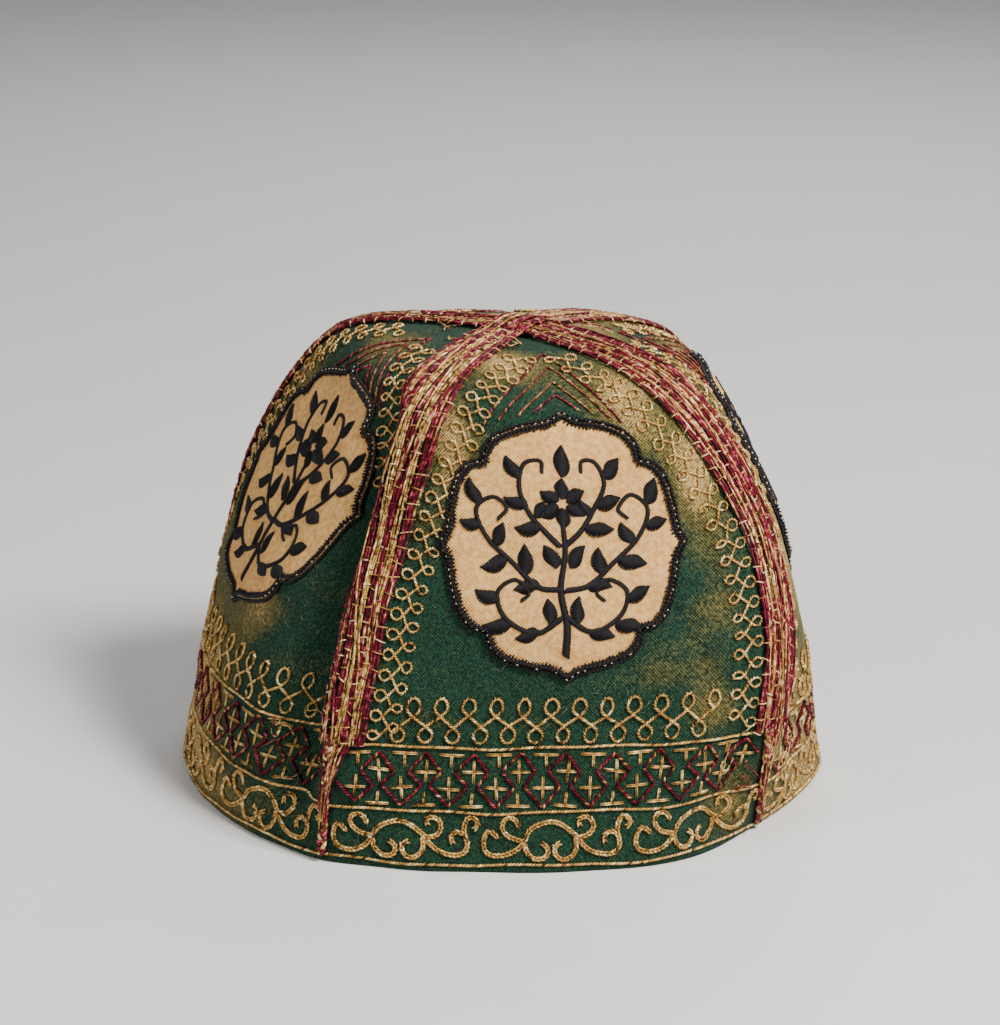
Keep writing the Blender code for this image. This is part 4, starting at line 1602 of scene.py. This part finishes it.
def plait(seam, draw):
    """Three strands: aside by the sine and up by the sine of the doubled angle. A straight
    filling cord lies under them on the cloth."""
    level = np.linspace(BRAID_LOW, BRAID_TOP, BRAID_RINGS)
    zero = np.zeros(BRAID_RINGS)
    ridge = over_seam(seam, zero, level, zero)[0]
    length = path_length(ridge)
    end = np.clip(length / KNOT_LENGTH, 0, 1)
    angle = TURN * (length / BRAID_PITCH + np.arange(3)[:, None] / 3)
    aside = np.vstack([BRAID_HALF * np.sin(angle) * (0.4 + 0.6 * end), zero])
    lift = np.vstack([BRAID_LIFT + OVER_AND_UNDER * np.sin(2 * angle), zero + FILLING_LIFT])
    places, outs = over_seam(seam, aside, np.broadcast_to(level, aside.shape), lift)
    places[..., 2] = np.maximum(places[..., 2], BRAID_THICK + 0.1)
    thick = BRAID_THICK * np.clip(draw.normal(1, 0.07, aside.shape), 0.85, 1.15)
    colours = [thread_colours(draw, length, crimson) for crimson in BRAID_DYES]
    return (sweep(places, outs, thick, thick, BRAID_SIDES),
            np.repeat(np.stack(colours, 1), BRAID_SIDES, axis=2))


def gathered(seam, draw):
    """Threads from the band's foot into the plait: with the squared way up from its lower
    end, one goes further aside and comes closer to the cloth."""
    low = draw.uniform(*GATHERED_LOW, GATHERED)[:, None]
    top = draw.uniform(*GATHERED_TOP, GATHERED)[:, None] + band_stray(seam, BORDER_LEVEL)
    foot = draw.normal(0, 0.7, GATHERED)[:, None]
    way = np.linspace(0, 1, GATHERED_RINGS)
    sway = 1.2 * np.sin(way * 9 + draw.uniform(*PHASES, GATHERED)[:, None]) * way * (1 - way)
    aside = foot + (top - foot) * way**2 + sway
    lift = np.broadcast_to(GATHERED_LIFT - way**2, aside.shape)
    places, outs = over_seam(seam, aside, low + (BRAID_TOP + 0.01 - low) * way, lift)
    thick = np.full(aside.shape, GATHERED_RADIUS)
    length = np.linspace(0, GATHERED_LENGTH, GATHERED_RINGS)
    colours = [thread_colours(draw, length, float(draw.uniform() < GATHERED_CRIMSON))
               for _ in low]
    return (sweep(places, outs, thick, thick, THREAD_SIDES),
            np.repeat(np.stack(colours, 1), THREAD_SIDES, axis=2))


def cover_seam(seam, seed):
    """The plait and the threads gathered into it, as one piece."""
    draw = np.random.default_rng(seed)
    cords, cord_colours = plait(seam, draw)
    threads, colours = gathered(seam, draw)
    points, faces, thread = joined([cords, threads])
    dye, tone_and_glint = np.concatenate([cord_colours.reshape(2, -1), colours.reshape(2, -1)], axis=1)
    piece = add_piece("plait_" + seam, points, faces, LAID_THREAD,
                      {"thread": thread, "dye": dye, "tone_and_glint": tone_and_glint})
    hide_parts("seam_braid_" + seam)
    return piece


for order, seam in enumerate(SEAM_TABLE):
    cover_seam(seam, 60 + order)

# %% [markdown]
# ## Medallions
#
# A medallion is a piece of cream cloth with a lobed outline, sewn on the gore. Its grid
# is a square whose rings of points are bent into the outline, so there is no pole in the
# middle. The edge is worked over with two rows of black twisted thread, small pale
# stitches between them are painted glints, and short stitches reach in from them like
# small teeth.

# %% Build the medallion cloths
LOBE_TABLE = (
    (0.000, 1.010), (0.050, 0.955), (0.120, 0.945), (0.250, 0.960), (0.370, 0.980),
    (0.440, 0.960), (0.500, 0.895), (0.560, 0.965), (0.640, 0.990), (0.760, 0.965),
    (0.890, 0.942), (0.950, 0.955), (1.000, 1.010),
)
MEDALLION_HALF = (35.5, 38.5)

# For each gore: middle across and up, bow of the axis in mm, and growth upwards
MEDALLION_TABLE = {
    "front": (-1.8, 93.4, 4.0, 1.0),
    "right": (5.0, 96.5, 0.0, 1.0),
    "back": (0.0, 93.5, 0.0, 1.0),
    "left": (0.8, 98.0, -3.6, 1.05),
}
MEDALLION_GRID = 43
MEDALLION_TOP = 1.0
MEDALLION_FOOT = 0.12
CLOTH_INSET = 1.0


def lobed_outline(angle, inset):
    """Outline of the medallion at an angle, drawn in by the inset, as x and y."""
    shares, reaches = zip(*LOBE_TABLE)
    quarter = np.mod(angle / (math.pi / 2), 1.0)
    reach = np.interp(quarter, shares, reaches)
    x = np.cos(angle) * (MEDALLION_HALF[0] * reach - inset)
    y = np.sin(angle) * (MEDALLION_HALF[1] * reach - inset)
    return x, y


def on_medallion(name, x, y):
    """Chart places of points given from a medallion's middle: its axis is bowed by the
    squared way up or down, because a gore's middle line is bowed the other way."""
    middle_x, middle_y, bow, grow = MEDALLION_TABLE[name]
    return x + middle_x + bow * (y / MEDALLION_HALF[1]) ** 2, y * grow + middle_y


def medallion_path(name, path):
    """A path given from a medallion's middle as a path on its gore."""
    return np.stack(on_medallion(name, path[:, 0], path[:, 1]), axis=-1)


def medallion_cloth(name):
    """Lobed cloth: the ring number of a square grid is its share of the outline."""
    steps = np.linspace(-1, 1, MEDALLION_GRID)
    a, b = np.meshgrid(steps, steps)
    ring = np.maximum(np.abs(a), np.abs(b))
    safe = np.maximum(ring, 1e-9)
    eighth = math.pi / 4
    angle = np.where(
        np.abs(a) >= np.abs(b),
        np.where(a >= 0, eighth * b / safe, math.pi - eighth * b / safe),
        np.where(b >= 0, 2 * eighth - eighth * a / safe, -2 * eighth + eighth * a / safe),
    )
    x, y = (side * ring for side in lobed_outline(angle, CLOTH_INSET))
    chart_x, chart_y = on_medallion(name, x, y)
    puff = MEDALLION_TOP * (1 - 0.55 * ring**12)
    top = on_cloth(name, chart_x, chart_y, puff)[0]
    foot = on_cloth(name, chart_x, chart_y, MEDALLION_FOOT)[0]
    points = np.concatenate([top.reshape(-1, 3), foot.reshape(-1, 3)])
    places = np.tile(np.stack([x.ravel(), y.ravel()], axis=-1), (2, 1))
    piece = add_piece("medallion_cloth_" + name, points, shell_faces(*x.shape), CREAM_CLOTH,
                      {}, places)
    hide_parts("medallion_" + name)
    return piece


for name in GORE_TABLE:
    medallion_cloth(name)


# %% Stitch the black edges
# The two rows: inset from the outline, width, pitch and lift in mm
EDGE_ROWS = ((0.4, 1.5, 1.15, 0.1), (1.75, 1.6, 1.2, 0.7))
EDGE_POINTS = 400
GLINT_INSET = 1.05
GLINT_PITCH = 1.9
GLINT_SHARE = 0.6
GLINT_TONE = 2.0
TEETH_INSET = 2.0
TEETH_PITCH = 1.0
TEETH_REACH = (0.8, 1.35)


def edge_path(name, inset):
    """The medallion's outline as a closed path on its gore."""
    outline = lobed_outline(np.linspace(0, TURN, EDGE_POINTS), inset)
    return medallion_path(name, np.stack(outline, axis=-1))


def stitch_edge(name, seed):
    """Two twisted rows round the medallion, painted pale glints between them, and teeth
    that reach in over the cream."""
    stitches = Stitches(seed)
    for inset, width, pitch, lift in EDGE_ROWS:
        twisted(stitches, edge_path(name, inset), width, pitch=pitch, lift=lift)
    # Small pale stitches between the rows: painted glints on the black thread.
    path = edge_path(name, GLINT_INSET)
    where = steps_along(path, GLINT_PITCH)
    where = where[stitches.draw.uniform(size=len(where)) < GLINT_SHARE]
    point = walk(path, where)[0]
    stitches.put(point, walk(path, where + 0.6)[0], 0.32, 0.4, 1.22, tone_and_glint=GLINT_TONE)
    path = edge_path(name, TEETH_INSET)
    point, left = walk(path, steps_along(path, TEETH_PITCH))
    reach = stitches.draw.uniform(*TEETH_REACH, len(point))[:, None]
    stitches.put(point, point + left * reach, 0.7, 0.62, MEDALLION_TOP - 0.1, tone_and_glint=0.4)
    piece = stitches.build("medallion_stitches_" + name, name, BLACK_THREAD)
    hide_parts("medallion_edge_" + name)
    return piece


for order, name in enumerate(GORE_TABLE):
    stitch_edge(name, 110 + order)

# %% [markdown]
# ## Spray
#
# Each medallion holds a generic plant in black satin stitch, drawn for this part: one
# stem, three pairs of curling branches, pointed leaves and a round blossom. A branch is a
# smooth path, a leaf is satin stitch whose half width rises and falls along its length.

# %% Chart and stitch the sprays
LEAF_WEIGHT = 1.3
LEAF_TIP = 0.15
STEM_TAPER = 0.4
SPRAY_LIFT = MEDALLION_TOP - 0.12
PETALS = 6
BLOSSOM_MIDDLE = 12.0
BLOSSOM_HOLLOW = 1.3


def leaf(stitches, name, x, y, angle, length, half, bend=0.0):
    """A pointed leaf: its half width is the sine of the way along, drawn to the tip."""
    t = np.linspace(0, 1, 9)
    turn = math.radians(angle) + bend * (t - 0.5)
    steps = np.stack([np.cos(turn), np.sin(turn)], axis=-1) * length / 8
    path = np.vstack([[0.0, 0.0], np.cumsum(steps[:-1], axis=0)]) + (x, y)
    satin(stitches, medallion_path(name, path),
          lambda way: LEAF_WEIGHT * half * np.sin(math.pi * way**0.8) + LEAF_TIP, SPRAY_LIFT)


def stem(stitches, name, points, half=0.8):
    """A stem or tendril that thins towards its end."""
    satin(stitches, medallion_path(name, smooth_path(points)),
          lambda way: half * (1 - STEM_TAPER * way), SPRAY_LIFT, pitch=0.55, slant=0.8)


MAIN_STEM = ((0, -31), (0.8, -22), (-0.6, -12), (0.5, -2), (0, 6))

# One side of the plant, from the medallion's middle: branches, then leaves as place,
# angle in degrees, length, half width and bend
BRANCHES = (
    ((0.5, -20), (8, -24), (16, -20), (18, -13), (13, -9.5), (9.5, -13), (12, -15.5)),
    ((0.5, -12), (7, -11), (14, -5), (21, 2), (24, 10), (19, 14), (15.5, 10.5), (18, 7.5)),
    ((0.5, 0), (5, 4), (9, 10), (12, 17), (10, 23), (6, 24), (5.5, 20.5)),
)
LEAVES = (
    (7, -23.5, -20, 7.0, 1.5, 0.4), (14.5, -21.5, -8, 8.0, 1.7, 0.6),
    (17.8, -15, 25, 7.0, 1.6, 0.6), (4, -21.5, 80, 7.0, 1.5, -0.5),
    (6.5, -11, -8, 7.5, 1.6, -0.4), (11, -8, 95, 8.5, 1.7, -0.5),
    (15.5, -3.5, -12, 8.5, 1.8, 0.5), (19.5, 0.5, 108, 7.0, 1.5, -0.5),
    (23, 5.5, 15, 6.5, 1.5, 0.6), (23.2, 11.5, 70, 7.5, 1.6, 0.6),
    (6, 5.5, 0, 8.0, 1.7, 0.6), (9.5, 11.5, 20, 7.5, 1.6, 0.5), (11.6, 19, 55, 7.5, 1.6, 0.4),
    (7.8, 8.5, 125, 5.5, 1.2, -0.4), (2.0, -6, 62, 8.0, 1.6, -0.5),
)


def stitch_spray(name, seed):
    """The plant on one medallion: the listed side, its mirror image, and the middle."""
    stitches = Stitches(seed)
    nudge = stitches.draw
    for side in (1, -1):
        for branch in BRANCHES:
            points = np.array(branch) * (side, 1) + nudge.normal(0, 0.25, (len(branch), 2))
            stem(stitches, name, points)
        for x, y, angle, length, half, bend in LEAVES:
            turned = angle if side == 1 else 180 - angle
            leaf(stitches, name, x * side, y, turned + nudge.normal(0, 5),
                 length * nudge.uniform(0.92, 1.08), half, bend * side)
    stem(stitches, name, MAIN_STEM, 1.1)
    for petal in range(PETALS):
        turn = TURN * (petal + 0.5) / PETALS
        leaf(stitches, name, BLOSSOM_HOLLOW * math.cos(turn),
             BLOSSOM_MIDDLE + BLOSSOM_HOLLOW * math.sin(turn), math.degrees(turn), 5.8, 1.6)
    leaf(stitches, name, 0.0, 19.5, 90, 9.0, 1.7)
    piece = stitches.build("medallion_spray_" + name, name, BLACK_THREAD)
    return piece


for order, name in enumerate(GORE_TABLE):
    stitch_spray(name, 130 + order)

# %% [markdown]
# ## Lint
#
# Worn cloth is covered with fine pale fibres, which show best along its outline. A fibre
# starts on the cloth and rises off it on a curve.

# %% Raise the lint
LINT_COUNT = 200
LINT_RINGS = 5
LINT_SIDES = 3
LINT_RADIUS = 0.03
LINT_HEIGHTS = (6.0, 160.0)
LINT_LENGTHS = (1.2, 3.6)
LINT_RISES = (0.3, 1.9)


def raise_lint(name, seed):
    """Fibres of one gore: the height off the cloth grows with the squared way along."""
    draw = np.random.default_rng(seed)
    y = draw.uniform(*LINT_HEIGHTS, (LINT_COUNT, 1))
    left, right = gore_span(name, y)
    x = left + (right - left) * draw.uniform(0.06, 0.94, (LINT_COUNT, 1))
    way = np.linspace(0, 1, LINT_RINGS)
    turn = draw.uniform(*PHASES, (LINT_COUNT, 1))
    turn = turn + draw.normal(0, 0.9, (LINT_COUNT, 1)) * way
    reach = draw.uniform(*LINT_LENGTHS, (LINT_COUNT, 1)) * way
    lift = 0.2 + draw.uniform(*LINT_RISES, (LINT_COUNT, 1)) * way**2
    places, outward = on_cloth(name, x + reach * np.cos(turn), y + reach * np.sin(turn), lift)
    thin = LINT_RADIUS * (1.2 - 0.7 * np.broadcast_to(way, reach.shape))
    points, faces = sweep(places, outward, thin, thin, LINT_SIDES)[:2]
    piece = add_piece("lint_" + name, points, faces, LINT, {})
    return piece


for order, name in enumerate(GORE_TABLE):
    raise_lint(name, 150 + order)

# %% [markdown]
# ## Floor
#
# The cap stands on a plain pale floor that fills the picture.

# %% Lay the floor
FLOOR_HALF = 6000.0
floor_points = np.array([(-1, -1, 0), (1, -1, 0), (1, 1, 0), (-1, 1, 0)]) * (
    FLOOR_HALF, FLOOR_HALF, 1)
floor_mesh = bpy.data.meshes.new("floor")
floor_mesh.from_pydata((floor_points * MM).tolist(), [], [(0, 1, 2, 3)])
floor_mesh.materials.append(make_floor())
floor = bpy.data.objects.new("floor", floor_mesh)
bpy.context.scene.collection.objects.link(floor)
floor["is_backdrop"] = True

# %% Print both sizes and finish
size = {"packed": [list(corner) for corner in packed_box],
        "visual": [list(corner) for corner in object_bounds()]}
print("size:", size)
